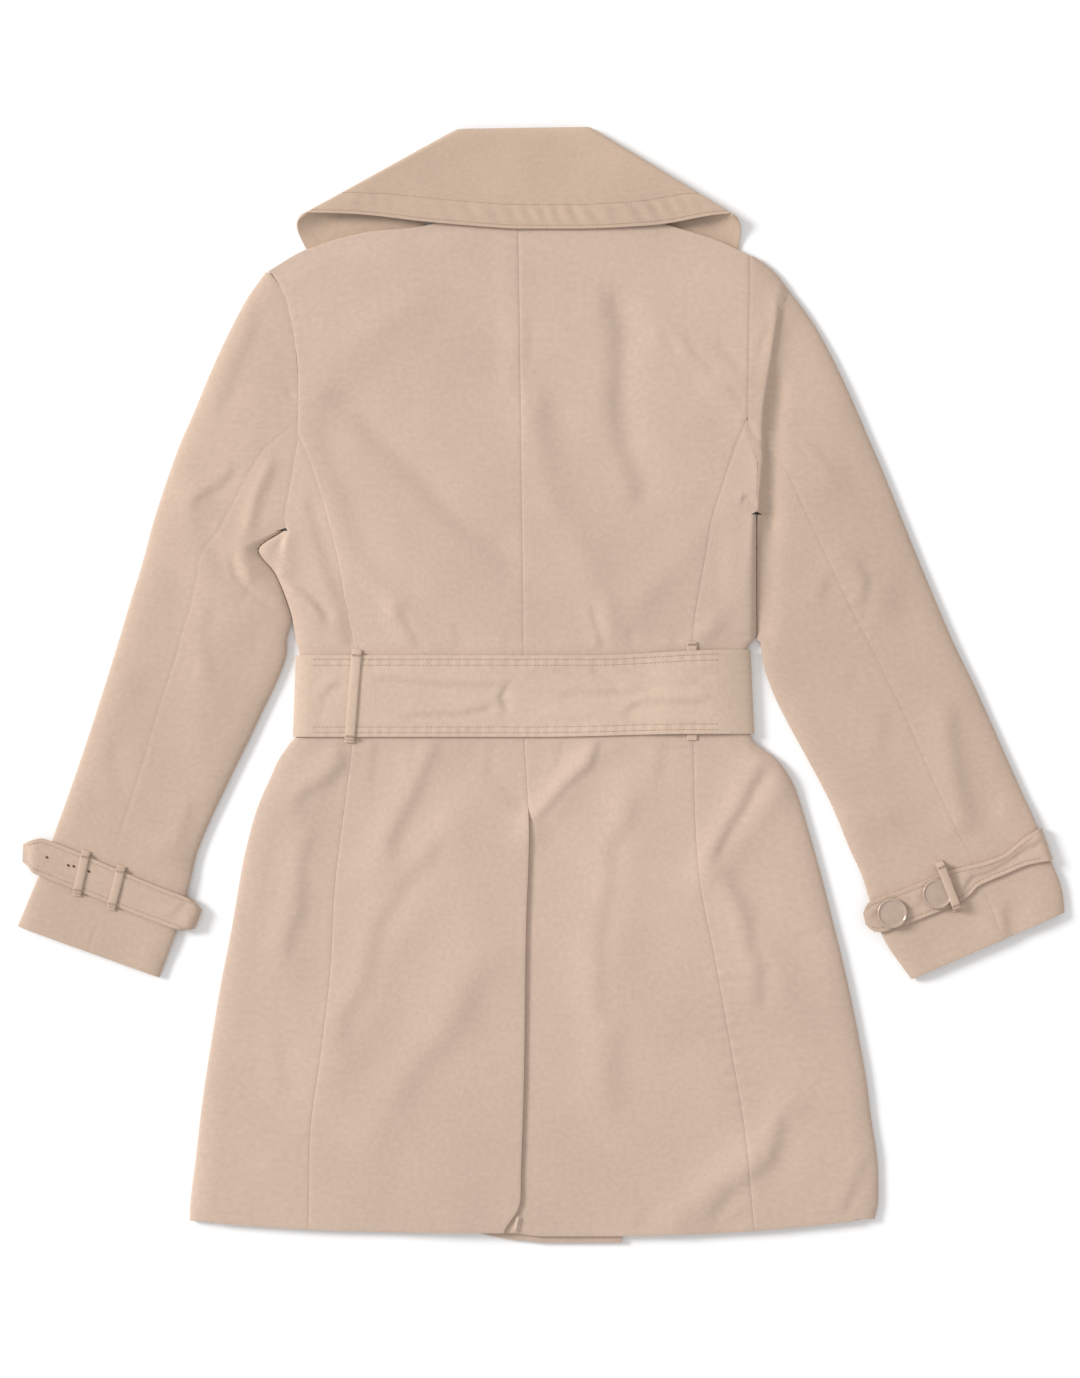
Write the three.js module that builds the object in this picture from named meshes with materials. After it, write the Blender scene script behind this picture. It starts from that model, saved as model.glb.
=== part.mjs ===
import * as THREE from "three";

// Trench coat lying face down on a table, seen from its back. Millimetres, +Z up, +Y towards the collar,
// +X towards the wearer's right sleeve. The origin is under the middle of the coat.

// Cloth
const WALL = 2;
const SEAM_GAP = 0.3;
const STRAP_WALL = 1.8;
const TRIM_WALL = 1.2;
const LAY_GAP = 0.6;

// Lay of the coat: the top of the back, and the height where a second front lies on the first
const CREST = 7.8;
const SECOND_LAYER = WALL + SEAM_GAP;
const EDGE_ROLL = 7;
const FRONT_TUCK = 14;
const RAMP = 14;

// Body heights
const HEM_ROW = -400;
const SHOULDER_ROW = 224;
const PRINCESS_TOP = { left: 200, right: 211 };
const COLLAR_WALL = 1.8;
const SHOULDER_POINT = { left: 330, right: 342.8 };
const LAST_OPEN_ROW = { left: 125, right: 176 };
const NECK_POINT = { left: -90.8, right: 98.8 };
const FRONT_NECK_LOW = 250;
const FRONT_EDGE = { left: 64.4, right: -92.4 };
const INNER_FRONT_DROP = 5.5;
const INNER_HEM_FROM = -54;

// Collar, from the fold at the top of the stand to the lower edge of the fall
const COLLAR_CREST = 10.6;
const COLLAR_FOLD_DROP = 3.2;
const COLLAR_FOLD = { left: [-67.6, 443.6], right: [38.8, 445.2] };
const COLLAR_CORNER = { left: [-192, 376.5], right: [156, 376] };
const COLLAR_END_RAISE = 1.6;
const LEAF_LOW = 328;
const LEAF_DROP = 30;
const LEAF_WIDTH = { left: 84, right: 50 };
const END_BULGE = { left: { middle: 3.6, end: 2 }, right: { middle: 2.8, end: 8 } };
const LEAF_INNER = 62;
const NECK_MIDDLE = -18;
const STAND_TOP = 439;
const STAND_CREST = 8.2;
const STAND_HALF = { left: [-84, -60], right: [92, 32] };
const BODY_AT_WAIST = { left: -200.5, right: 173.5 };

// Hem vent
const VENT_TOP = -110;
const VENT_UNDERLAP = 34;
const VENT_RAISE = 2.8;

// Belt
const BELT_TOP = 28;
const BELT_BOTTOM = -42.5;
const BELT_LIFT = STRAP_WALL + SEAM_GAP;
const LOOP_WIDTH = 8;
const RIGHT_LOOP_X = 120;

// Cuff straps and buttons
const STRAP_WIDTH = 27;
const STRAP_ZONE = 240;
const STRAP_UNDER = 62;
const STRAP_CHAMFER = 9;
const TAB_DROOP = 5.5;
const TAB_LENGTH = 10;
const CARRIER_WIDTH = 7;
const BUTTON_RADIUS = 12;
const BUTTON_HEIGHT = 3.2;

// Tables, one row for each height. Edges are the folded sides, and above the last open row the armholes.
const named = (columns, rows) => rows.map((row) =>
  Object.fromEntries(columns.split(" ").map((column, index) => [column, row[index]])));

const BODY_LEFT = named("y x", [
  [-430, -281.2], [-412, -280.4], [-380, -276.4], [-332, -270.8], [-284, -263.6], [-236, -255.6],
  [-204, -249.2], [-172, -243.6], [-140, -238], [-108, -230], [-92, -224.4], [-76, -217.2], [-60, -210],
  [-46, -200], [-40, -194.5], [0, -193.6], [24, -193], [32, -195.5], [57, -200.4], [88, -212.4],
  [108, -226.4], [125, -204.4], [132, -206], [162, -200.4], [205, -194.4], [241, -194.4], [280, -198],
  [314, -206.8], [330, -218]]);
const BODY_RIGHT = named("y x", [
  [-430, 265.6], [-412, 269.2], [-380, 268.4], [-348, 263.6], [-316, 259.6], [-284, 254], [-252, 247.6],
  [-220, 240.4], [-188, 232.4], [-156, 224.4], [-124, 215.6], [-92, 206], [-76, 199.6], [-60, 188],
  [-46, 170], [-40, 166.6], [0, 165.2], [24, 164], [30, 165], [40, 172], [80, 171.6], [131, 171.6],
  [176, 172], [198, 165.2], [215, 164.4], [268, 165.2], [320, 166], [343, 166]]);
const CENTRE_BACK = named("y x", [
  [-438, -21], [-418, -17.2], [-392, -16.4], [-315, -14], [-198, -12.4], [-120, -10], [-44, -13.5],
  [68, -14.8], [268, -17.2], [384, -18.8]]);
const PRINCESS_LEFT = named("y x", [
  [-430, -186], [-354, -184.4], [-296, -176.4], [-229, -168.7], [-159, -164.8], [-81, -155.1], [-48, -151.2],
  [29, -150], [68, -157.2], [107, -164.4], [165, -180.4], [200, -193.6]]);
const PRINCESS_RIGHT = named("y x", [
  [-436, 170], [-354, 162], [-288, 150.8], [-221, 138.8], [-148, 125.2], [-42, 121.2], [29, 120.4],
  [52, 122], [107, 131.6], [131, 135.6], [162, 145.2], [195, 156.1], [211, 163.6]]);
const HEM_LINE = named("x y", [
  [-285, -428], [-193, -434.8], [-113, -437.2], [-23, -438], [0, -440.5], [64, -440.4], [167, -436.4],
  [270, -426.5]]);
const BACK_TOP = named("x y", [
  [-218, 330], [-189, 346.8], [-144, 360.4], [-90.8, 366.8], [-60, 379], [-20, 383], [24, 383], [66, 379],
  [98.8, 367.6], [139.6, 354.8], [166, 342.8]]);

// Sleeve cross lines, by the height of the inner end: the outer end, and where the back seam crosses,
// as a share of the width from the outer end
const SLEEVE_LEFT = named("inY inX outX outY seam", [
  [-234, -305.2, -418.6, -193.2, 0.5], [-208.4, -295.6, -411.6, -176.4, 0.49],
  [-182, -286.8, -403.6, -158, 0.47], [-156.4, -280.4, -395.6, -138, 0.45],
  [-129.2, -273.2, -385.2, -108.4, 0.44], [-82.8, -252.4, -371.6, -70, 0.416],
  [-31.6, -227.6, -355.6, -22, 0.377], [23.6, -203.6, -338.8, 31.6, 0.363], [57, -203.2, -328.5, 66, 0.385],
  [88, -215, -321, 90, 0.44], [108, -228.5, -315.5, 109.5, 0.5], [125, -204.4, -311.6, 124.5, 0.52],
  [150, -202.5, -303.6, 150.5, 0.594], [190, -196, -289.2, 191, 0.739], [211.6, -194.2, -277.8, 217, 0.985],
  [237.2, -194.2, -266.8, 243.6, 1], [271.6, -197, -252.4, 275.6, 1], [303.6, -204, -235.6, 307.6, 1],
  [322.8, -213, -223.5, 325, 1], [330, -218, -219.6, 330.4, 1]]);
const SLEEVE_RIGHT = named("inY inX outX outY seam", [
  [-235.6, 295.6, 418, -182, 0.4], [-204.4, 274, 415.5, -162.8, 0.4], [-174.8, 262.8, 406.8, -140.4, 0.4],
  [-151.6, 255.6, 399.6, -122.8, 0.41], [-132.4, 246.8, 394, -108.4, 0.418], [-92.4, 230, 379.6, -76.4, 0.43],
  [-26.8, 194.8, 354, -18.8, 0.41], [-4, 184, 343.5, 4, 0.415], [19.6, 176.8, 330, 31.6, 0.426],
  [50, 174, 317.2, 61.2, 0.47], [91.6, 173.4, 301.2, 99.6, 0.55], [149.2, 173.6, 280.4, 151.5, 0.696],
  [176, 172.4, 269.6, 178, 0.8], [195.6, 166, 261.2, 197, 0.95], [211, 164.6, 255, 211.8, 1],
  [251.6, 165.2, 237.2, 251.2, 1], [286.8, 165.6, 218.2, 286.8, 1], [312, 166, 198, 314.5, 1],
  [330, 166, 184, 331.5, 1], [342.8, 166, 168.2, 343.2, 1]]);

// Cuff straps, from the free tab over the sleeve to the edge that they fold round
const STRAPS = {
  left: named("x y width", [
    [-414.5, -134.6, 14], [-408, -135, 22], [-401.5, -136.6, 29], [-380, -145, 29], [-350, -157.5, 28],
    [-320, -170, 27.5], [-298, -178.6, 27], [-273.6, -187.5, 27]]),
  right: named("x y width", [
    [257.5, -187, 9], [262, -186, 22], [270, -184, 27], [288, -178, 27], [306, -171, 27], [323, -164, 27],
    [334, -158.5, 25], [343, -153.4, 19], [354, -149.4, 16], [370, -143.2, 15], [381, -137, 18],
    [391, -131.8, 23], [404.2, -127, 27]]) };

// Largest folds: from one end to the other, how wide and how high. A trough has a height below zero.
const FOLDS = named("x0 y0 x1 y1 width height", [
  [-154, 219, -28, 104, 16, -1.3], [-100, 300, -180, 234, 18, 1.4], [60, 300, 61, 198, 16, -1.2],
  [-4, 215, 37, 89, 15, 1.6], [99, 277, 157, 245, 12, 1.8], [139, 234, 162, 216, 9, 1.5],
  [146, 144, 73, 60, 16, 1.2], [-115, 56, -93, 28, 11, 2], [52, 60, 56, 28, 10, 1.8],
  [135, 45, 122, 30, 9, 2],
  [-80, -50, -126, -140, 17, 2.4], [-157, -54, -192, -92, 14, 2], [-188, -132, -204, -213, 17, 1.8],
  [-76, -120, -161, -296, 20, 2.2], [-48, -229, -134, -361, 20, 1.6], [49, -48, -5, -114, 12, 2.6],
  [72, -93, 45, -316, 18, 1.8], [148, -40, 173, -59, 9, 2], [189, -77, 135, -148, 15, 3.2],
  [158, -175, 189, -237, 15, 2], [162, -377, 112, -424, 14, 2], [197, -338, 170, -392, 14, 1.6],
  [-276, 142, -228, 79, 14, 3], [-260, 40, -272, -36, 18, 1.4], [-303, -134, -323, -150, 12, 1.4],
  [194, 190, 226, 166, 14, 2.2], [241, 95, 265, 71, 14, 2.4], [332, -40, 344, -122, 17, 1.8],
  [241, -110, 273, -108, 11, 1.4], [189, 240, 182, 130, 8, -2], [182, 130, 178, 45, 8, -2]]);

// Working out lines between the rows of a table
function along(table, from, to) {
  const rows = [...table].sort((a, b) => a[from] - b[from]);
  const slope = (index) => {
    const low = rows[Math.max(index - 1, 0)];
    const high = rows[Math.min(index + 1, rows.length - 1)];
    return (high[to] - low[to]) / (high[from] - low[from]);
  };
  return (value) => {
    const last = rows.length - 2;
    const next = rows.findIndex((row) => value < row[from]);
    const index = next < 0 ? last : Math.min(Math.max(next - 1, 0), last);
    const span = rows[index + 1][from] - rows[index][from];
    const t = Math.min(Math.max((value - rows[index][from]) / span, 0), 1);
    const chord = (rows[index + 1][to] - rows[index][to]) / span;
    const steepest = 3 * Math.abs(chord);
    const bend = (raw) => (raw * chord <= 0 ? 0 : Math.sign(chord) * Math.min(Math.abs(raw), steepest));
    const [startSlope, endSlope] = [bend(slope(index)), bend(slope(index + 1))];
    return rows[index][to] * (1 - t) ** 2 * (1 + 2 * t) + rows[index + 1][to] * t ** 2 * (3 - 2 * t)
      + span * t * (1 - t) * ((1 - t) * startSlope - t * endSlope);
  };
}
const mix = (a, b, t) => a + (b - a) * t;
const clamp = (t) => Math.min(Math.max(t, 0), 1);
const smooth = (t) => clamp(t) ** 2 * (3 - 2 * clamp(t));
const spread = (from, to, count) =>
  Array.from({ length: count }, (_, index) => mix(from, to, index / (count - 1)));

const bodyEdge = { left: along(BODY_LEFT, "y", "x"), right: along(BODY_RIGHT, "y", "x") };
const centreBack = along(CENTRE_BACK, "y", "x");
const princess = { left: along(PRINCESS_LEFT, "y", "x"), right: along(PRINCESS_RIGHT, "y", "x") };
const hemLine = along(HEM_LINE, "x", "y");
const backTop = along(BACK_TOP, "x", "y");
const outward = { left: -1, right: 1 };

// Heights of the cloth above the table
function foldHeight(x, y) {
  let height = 0;
  for (const fold of FOLDS) {
    const length = Math.hypot(fold.x1 - fold.x0, fold.y1 - fold.y0);
    const [dx, dy] = [(fold.x1 - fold.x0) / length, (fold.y1 - fold.y0) / length];
    const ahead = (x - fold.x0) * dx + (y - fold.y0) * dy;
    const beside = (x - fold.x0) * dy - (y - fold.y0) * dx;
    const past = Math.max(-ahead, ahead - length, 0);
    height += fold.height * Math.exp(-((beside / fold.width) ** 2) - (past / (1.4 * fold.width)) ** 2);
  }
  return height;
}
const band = (value, low, high) => smooth((value - low) / RAMP + 1) * smooth((high - value) / RAMP + 1);
const beltBand = (y) => band(y, BELT_BOTTOM, BELT_TOP);
const leafBand = (x, y) => smooth((y - LEAF_LOW) / RAMP + 1)
  * smooth((Math.abs(x - NECK_MIDDLE) - LEAF_INNER) / RAMP);
const bodyLow = (x, y) => BELT_LIFT * beltBand(y) + (COLLAR_WALL + SEAM_GAP) * leafBand(x, y);
const atWaist = (x, y) => (x > BODY_AT_WAIST.left && x < BODY_AT_WAIST.right ? beltBand(y) : 0);
function strapBand(x, y) {
  const strap = x < 0 ? STRAPS.left : STRAPS.right;
  const [start, end] = [strap[0], strap[strap.length - 1]];
  const length = Math.hypot(end.x - start.x, end.y - start.y);
  const beside = ((x - start.x) * (end.y - start.y) - (y - start.y) * (end.x - start.x)) / length;
  const beyond = Math.abs(x) > STRAP_ZONE ? 1 : 0;
  return beyond * smooth((STRAP_WIDTH / 2 + 2 * RAMP - Math.abs(beside)) / RAMP);
}
const sleeveLow = (x, y) => (STRAP_WALL + SEAM_GAP) * strapBand(x, y);
function crest(x, y) {
  const fromCentre = x - centreBack(y);
  const lap = fromCentre < 0 ? smooth(fromCentre / (2 * VENT_UNDERLAP) + 1.6) : 0;
  const calm = 1 - 0.85 * Math.max(atWaist(x, y), strapBand(x, y));
  const raise = VENT_RAISE * smooth((VENT_TOP - y) / RAMP + 1) * lap;
  return CREST + foldHeight(x, y) * calm + atWaist(x, y) + raise;
}

// A closed wall of cloth from rows of stations. A station gives its point at a depth into the cloth.
function cloth(name, finish, rows, wall = WALL, keep = () => true) {
  const [rowCount, columnCount] = [rows.length, rows[0].length];
  const kept = (i, j) => i >= 0 && j >= 0 && i < rowCount - 1 && j < columnCount - 1 && keep(i, j);
  const positions = [];
  const indices = [];
  const seen = new Map();
  const vertex = (i, j, inside) => {
    const key = `${i} ${j} ${inside}`;
    if (!seen.has(key)) {
      seen.set(key, positions.length / 3);
      positions.push(...rows[i][j](inside ? wall : 0));
    }
    return seen.get(key);
  };
  const quad = (a, b, c, d) => indices.push(a, b, c, a, c, d);
  for (let i = 0; i < rowCount - 1; i += 1) {
    for (let j = 0; j < columnCount - 1; j += 1) {
      if (!kept(i, j)) continue;
      const corners = [[i, j], [i, j + 1], [i + 1, j + 1], [i + 1, j]];
      const outer = corners.map(([row, column]) => vertex(row, column, false));
      const inner = corners.map(([row, column]) => vertex(row, column, true));
      quad(...outer);
      quad(inner[3], inner[2], inner[1], inner[0]);
      const beyond = [[i - 1, j], [i, j + 1], [i + 1, j], [i, j - 1]];
      beyond.forEach(([row, column], side) => {
        const next = (side + 1) % 4;
        if (!kept(row, column)) quad(outer[next], outer[side], inner[side], inner[next]);
      });
    }
  }
  return solid(name, finish, positions, indices);
}
function solid(name, finish, positions, indices) {
  const geometry = new THREE.BufferGeometry();
  let volume = 0;
  const corner = (index) => new THREE.Vector3().fromArray(positions, 3 * index);
  for (let i = 0; i < indices.length; i += 3) {
    volume += corner(indices[i]).dot(corner(indices[i + 1]).cross(corner(indices[i + 2])));
  }
  if (volume < 0) indices.reverse();
  geometry.setAttribute("position", new THREE.Float32BufferAttribute(positions, 3));
  geometry.setIndex(indices);
  geometry.computeVertexNormals();
  const mesh = new THREE.Mesh(geometry, finish);
  mesh.name = name;
  return mesh;
}
function material(red, green, blue, roughness) {
  const color = new THREE.Color().setRGB(red / 255, green / 255, blue / 255, THREE.SRGBColorSpace);
  return new THREE.MeshStandardMaterial({ color, roughness, metalness: 0 });
}
const backCloth = material(208, 181, 164, 0.85);
const sleeveCloth = material(206, 180, 158, 0.85);
const trimCloth = material(210, 187, 168, 0.85);
const buttonFinish = material(191, 170, 150, 0.25);

// Stations on top, underneath and round a folded edge
const over = (x, y, high = crest) => (depth) => [x, y, high(x, y) - depth];
const under = (x, y, low) => (depth) => [x, y, low(x, y) + depth];
function rolled(edge, inward, high, low, count) {
  const start = [edge[0] + inward[0] * EDGE_ROLL, edge[1] + inward[1] * EDGE_ROLL];
  const [top, bottom] = [high(...start), low(...start)];
  return spread(0, Math.PI, count + 1).map((angle) => (depth) => {
    const reach = EDGE_ROLL - (EDGE_ROLL - depth) * Math.sin(angle);
    const height = (top + bottom) / 2 + ((top - bottom) / 2 - depth) * Math.cos(angle);
    return [edge[0] + inward[0] * reach, edge[1] + inward[1] * reach, height];
  });
}

// Rows of the body, from the hem up to the shoulders
const SKIRT_ROWS = [-370, -338, -304, -270, -236, -204, -172, -140, -112, -88, -64];
const WAIST_ROWS = [BELT_BOTTOM, -20, 4, BELT_TOP];
const CHEST_ROWS = [40, 62, 86, 108, 125, 144, 163, 176, 188, 200, 211];
const bodyRows = [
  ...[1, 0.5].map((hem) => ({ y: HEM_ROW, hem, top: 0 })),
  ...[HEM_ROW, ...SKIRT_ROWS, ...WAIST_ROWS, ...CHEST_ROWS, SHOULDER_ROW].map((y) => ({ y, hem: 0, top: 0 })),
  ...[0.16, 0.34, 0.52, 0.7, 0.86, 0.95, 1].map((top) => ({ y: SHOULDER_ROW, hem: 0, top }))];
const edgeHeight = (row, side) => row.y + row.top * (SHOULDER_POINT[side] - row.y);
function rowHeight(row, x, side, top = backTop) {
  const fan = row.top > 0 ? bodyEdge[side](SHOULDER_POINT[side]) / bodyEdge[side](edgeHeight(row, side)) : 1;
  return row.y + row.hem * (hemLine(x) - row.y) + row.top * (top(x * fan) - row.y);
}
const seamX = (row, seam, side) => seam(rowHeight(row, seam(row.y), side));
const isOpen = (row, side) => row.y >= LAST_OPEN_ROW[side] - 0.5;

// Above the neckline and shoulders the back turns down to meet the front
const shoulderTurn = (row, high) => (x, y) => high(x, y) - 1.5 * smooth((row.top - 0.86) / 0.14);

function backPanel(side) {
  const sign = outward[side];
  const lap = side === "right" ? [VENT_UNDERLAP, VENT_UNDERLAP / 2] : [];
  const rows = bodyRows.map((row) => {
    const centre = seamX(row, centreBack, side);
    const isHigh = row.top > 0 || row.y > PRINCESS_TOP[side];
    const outer = isHigh ? bodyEdge[side](edgeHeight(row, side)) : seamX(row, princess[side], side);
    const start = centre + sign * SEAM_GAP / 2;
    const end = outer - sign * SEAM_GAP / 2;
    const high = shoulderTurn(row, crest);
    const laps = lap.map((width) => {
      const x = start - width;
      return over(x, rowHeight(row, x, side), (a, b) => crest(a, b) - WALL - LAY_GAP);
    });
    return [...laps, ...spread(start, end, 8).map((x) => over(x, rowHeight(row, x, side), high))];
  });
  const ventRows = bodyRows.filter((row) => row.y < VENT_TOP).length;
  return cloth(`back_${side}`, backCloth, rows, WALL, (i, j) => j >= lap.length || i < ventRows - 1);
}

function sideBackPanel(side) {
  const sign = outward[side];
  const used = bodyRows.filter((row) => row.top === 0 && row.y <= PRINCESS_TOP[side]);
  const topCount = 5;
  const rows = used.map((row) => {
    const start = seamX(row, princess[side], side) + sign * SEAM_GAP / 2;
    const edge = seamX(row, bodyEdge[side], side);
    const at = (x) => [x, rowHeight(row, x, side)];
    const end = isOpen(row, side) ? edge - sign * SEAM_GAP / 2 : edge - sign * EDGE_ROLL;
    const top = spread(start, end, topCount).map((x) => over(...at(x)));
    const turn = rolled(at(edge), [-sign, 0], crest, bodyLow, 5).slice(1);
    const last = edge - sign * (EDGE_ROLL + FRONT_TUCK);
    return [...top, ...turn, under(...at(last), bodyLow)];
  });
  const folded = used.filter((row) => !isOpen(row, side)).length;
  return cloth(`side_back_${side}`, backCloth, rows, WALL, (i, j) => j < topCount - 1 || i < folded - 1);
}

// Fronts under the back. The outer one lies on the table, and the inner one steps up onto it.
function frontTop(side) {
  const sign = outward[side];
  return (x) => {
    const beyond = sign * (NECK_POINT[side] - x);
    const depth = sign * (NECK_POINT[side] - FRONT_EDGE[side]);
    return beyond <= 0 ? backTop(x) : mix(backTop(NECK_POINT[side]), FRONT_NECK_LOW, beyond / depth);
  };
}
function frontPanel(side) {
  const sign = outward[side];
  const top = frontTop(side);
  const outerEdge = FRONT_EDGE.right;
  const otherTop = frontTop("right");
  const lap = (x, y) => smooth((x - outerEdge) / RAMP + 1.3) * smooth((otherTop(x) - y) / RAMP + 4);
  const low = (x, y) => bodyLow(x, y) + (side === "left" ? SECOND_LAYER * lap(x, y) : 0);
  const rows = bodyRows.map((row) => {
    const height = edgeHeight(row, side);
    const edge = row.top > 0 ? bodyEdge[side](height) : seamX(row, bodyEdge[side], side);
    const tuck = isOpen(row, side) ? SEAM_GAP / 2 : EDGE_ROLL + FRONT_TUCK + SEAM_GAP;
    const beyond = side === "left" ? [outerEdge + 8, INNER_HEM_FROM, -25, 20, FRONT_EDGE.left] : [];
    const drop = beyond.length > 0 ? INNER_FRONT_DROP * row.hem : 0;
    return [...spread(edge - sign * tuck, outerEdge, 5), ...beyond].map((x) => {
      const lowered = drop * smooth((x - INNER_HEM_FROM) / (2 * RAMP));
      return under(x, rowHeight(row, x, side, top) - lowered, low);
    });
  });
  return cloth(`front_${side}`, backCloth, rows);
}

// Sleeves: each cross line runs from the outer fold to the inner fold, or to the armhole at the head
const SLEEVES = Object.fromEntries([["left", SLEEVE_LEFT], ["right", SLEEVE_RIGHT]].map(([side, table]) => {
  const keys = ["inX", "outX", "outY", "seam"];
  return [side, Object.fromEntries(keys.map((to) => [to, along(table, "inY", to)]))];
}));
const LOWER_SLEEVE_ROWS = {
  left: [-234, -218, -201, -183, -163, -140, -114, -84, -54, -24, 6, 34, 60, 84, 108],
  right: [-235.6, -219, -202, -184, -165, -144, -120, -92, -62, -32, -4, 24, 52, 82, 112, 140, 163] };
function sleeveSection(side, inY, isHead) {
  const line = SLEEVES[side];
  const inX = isHead ? bodyEdge[side](inY) + outward[side] * SEAM_GAP / 2 : line.inX(inY);
  const [outX, outY] = [line.outX(inY), line.outY(inY)];
  const width = Math.hypot(outX - inX, outY - inY);
  const inward = [(inX - outX) / width, (inY - outY) / width];
  const at = (distance) => [outX + inward[0] * distance, outY + inward[1] * distance];
  return { isHead, width, inward, at, seam: Math.min(line.seam(inY), 1) * width };
}
function sleeveSections(side) {
  const headRows = bodyRows.filter((row) => isOpen(row, side)).map((row) => edgeHeight(row, side));
  headRows[headRows.length - 1] -= 1.5;
  return [...LOWER_SLEEVE_ROWS[side].map((inY) => sleeveSection(side, inY, false)),
    ...headRows.map((inY) => sleeveSection(side, inY, true))];
}
const narrowRoll = (width) => Math.min(EDGE_ROLL, width * 0.35);
function sleeveUpper(side) {
  const rows = sleeveSections(side).map((section) => {
    const roll = narrowRoll(section.width);
    const seam = section.seam < section.width ? section.seam - SEAM_GAP / 2 : section.width;
    const top = spread(seam, roll, 5).map((distance) => over(...section.at(distance)));
    const shrunk = section.inward.map((part) => part * roll / EDGE_ROLL);
    const turn = rolled(section.at(0), shrunk, crest, sleeveLow, 4).slice(1);
    const rest = spread(roll, seam, 4).slice(1);
    return [...top, ...turn, ...rest.map((distance) => under(...section.at(distance), sleeveLow))];
  });
  return cloth(`sleeve_upper_${side}`, sleeveCloth, rows);
}
function sleeveUnder(side) {
  const used = sleeveSections(side).filter((section) => section.width - section.seam > 0.8);
  const rows = used.map((section) => {
    const seam = section.seam + SEAM_GAP / 2;
    const end = section.isHead ? section.width : section.width - EDGE_ROLL;
    const top = spread(seam, end, 4).map((distance) => over(...section.at(distance)));
    const outwards = section.inward.map((part) => -part);
    const turn = rolled(section.at(section.width), outwards, crest, sleeveLow, 4).slice(1, -1);
    const bottom = spread(end, seam, 4).map((distance) => under(...section.at(distance), sleeveLow));
    return [...top, ...turn, ...bottom];
  });
  const folded = used.filter((section) => !section.isHead).length;
  return cloth(`sleeve_under_${side}`, sleeveCloth, rows, WALL, (i, j) => j < 3 || j > 6 || i < folded - 1);
}

// Collar: the fall over the back, folded round its slanted ends into the leaves under the fronts
const FALL_EDGE = named("x y", [
  [-192, 376.5], [-142, 374.8], [-91.6, 369.2], [-21.2, 363.6], [30, 363.6], [62.8, 364.7], [98.8, 367.6],
  [134.8, 374], [156, 376]]);
const fallEdge = along(FALL_EDGE, "x", "y");
function collarFall() {
  const rows = [0, 0.025, 0.08, 0.25, 0.5, 0.75, 0.92, 1].map((t) => {
    const ends = ["left", "right"].map((side) => COLLAR_FOLD[side].map((part, axis) =>
      mix(part, COLLAR_CORNER[side][axis], t)));
    const high = (x, y) => {
      const nearEnd = Math.min(x - ends[0][0], ends[1][0] - x);
      const turn = 1 - Math.sqrt(1 - (1 - clamp((t * 70) / EDGE_ROLL)) ** 2);
      return COLLAR_CREST + COLLAR_END_RAISE * t * smooth(1 - nearEnd / 60) - COLLAR_FOLD_DROP * turn;
    };
    const across = (u) => {
      const x = mix(ends[0][0], ends[1][0], u);
      const foldY = mix(COLLAR_FOLD.left[1], COLLAR_FOLD.right[1], u);
      const lower = fallEdge(mix(COLLAR_CORNER.left[0], COLLAR_CORNER.right[0], u));
      return [x, mix(foldY, lower, t)];
    };
    const rollShare = EDGE_ROLL / (ends[1][0] - ends[0][0]);
    const top = spread(rollShare, 1 - rollShare, 12).map((u) => over(...across(u), high));
    const side = (end, inward, edgeU, bulge, width) => {
      const edge = [end[0], across(edgeU)[1]];
      const drop = LEAF_DROP * t ** 2;
      const turns = 5;
      const turn = rolled(edge, [inward, 0], high, () => 0, turns).map((station, index) => (depth) => {
        const turned = index / turns;
        const out = 4 * bulge.middle * turned * (1 - turned) + bulge.end * turned * (2 * turned - 1);
        const [x, y, z] = station(depth);
        return [x - inward * out * t ** 2, y - drop * turned ** 1.8, z];
      });
      const leaf = [0.2, 0.5, 1].map((share) => {
        const reach = EDGE_ROLL - bulge.end * t ** 2 + mix(10, width, t) * share;
        return under(edge[0] + inward * reach, edge[1] - drop, () => 0);
      });
      return [...turn.slice(1), ...leaf];
    };
    const left = side(ends[0], 1, 0, END_BULGE.left, LEAF_WIDTH.left);
    const right = side(ends[1], -1, 1, END_BULGE.right, LEAF_WIDTH.right);
    return [...left.reverse(), ...top, ...right];
  });
  return cloth("collar", trimCloth, rows, COLLAR_WALL);
}
function collarStand() {
  const rows = [0, 0.5, 1].map((up) => {
    const [left, right] = ["left", "right"].map((side) => mix(...STAND_HALF[side], up));
    return spread(left, right, 7).map((x) =>
      over(x, mix(backTop(x) + SEAM_GAP, STAND_TOP, up), () => STAND_CREST));
  });
  return cloth("collar_stand", trimCloth, rows, COLLAR_WALL);
}

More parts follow.
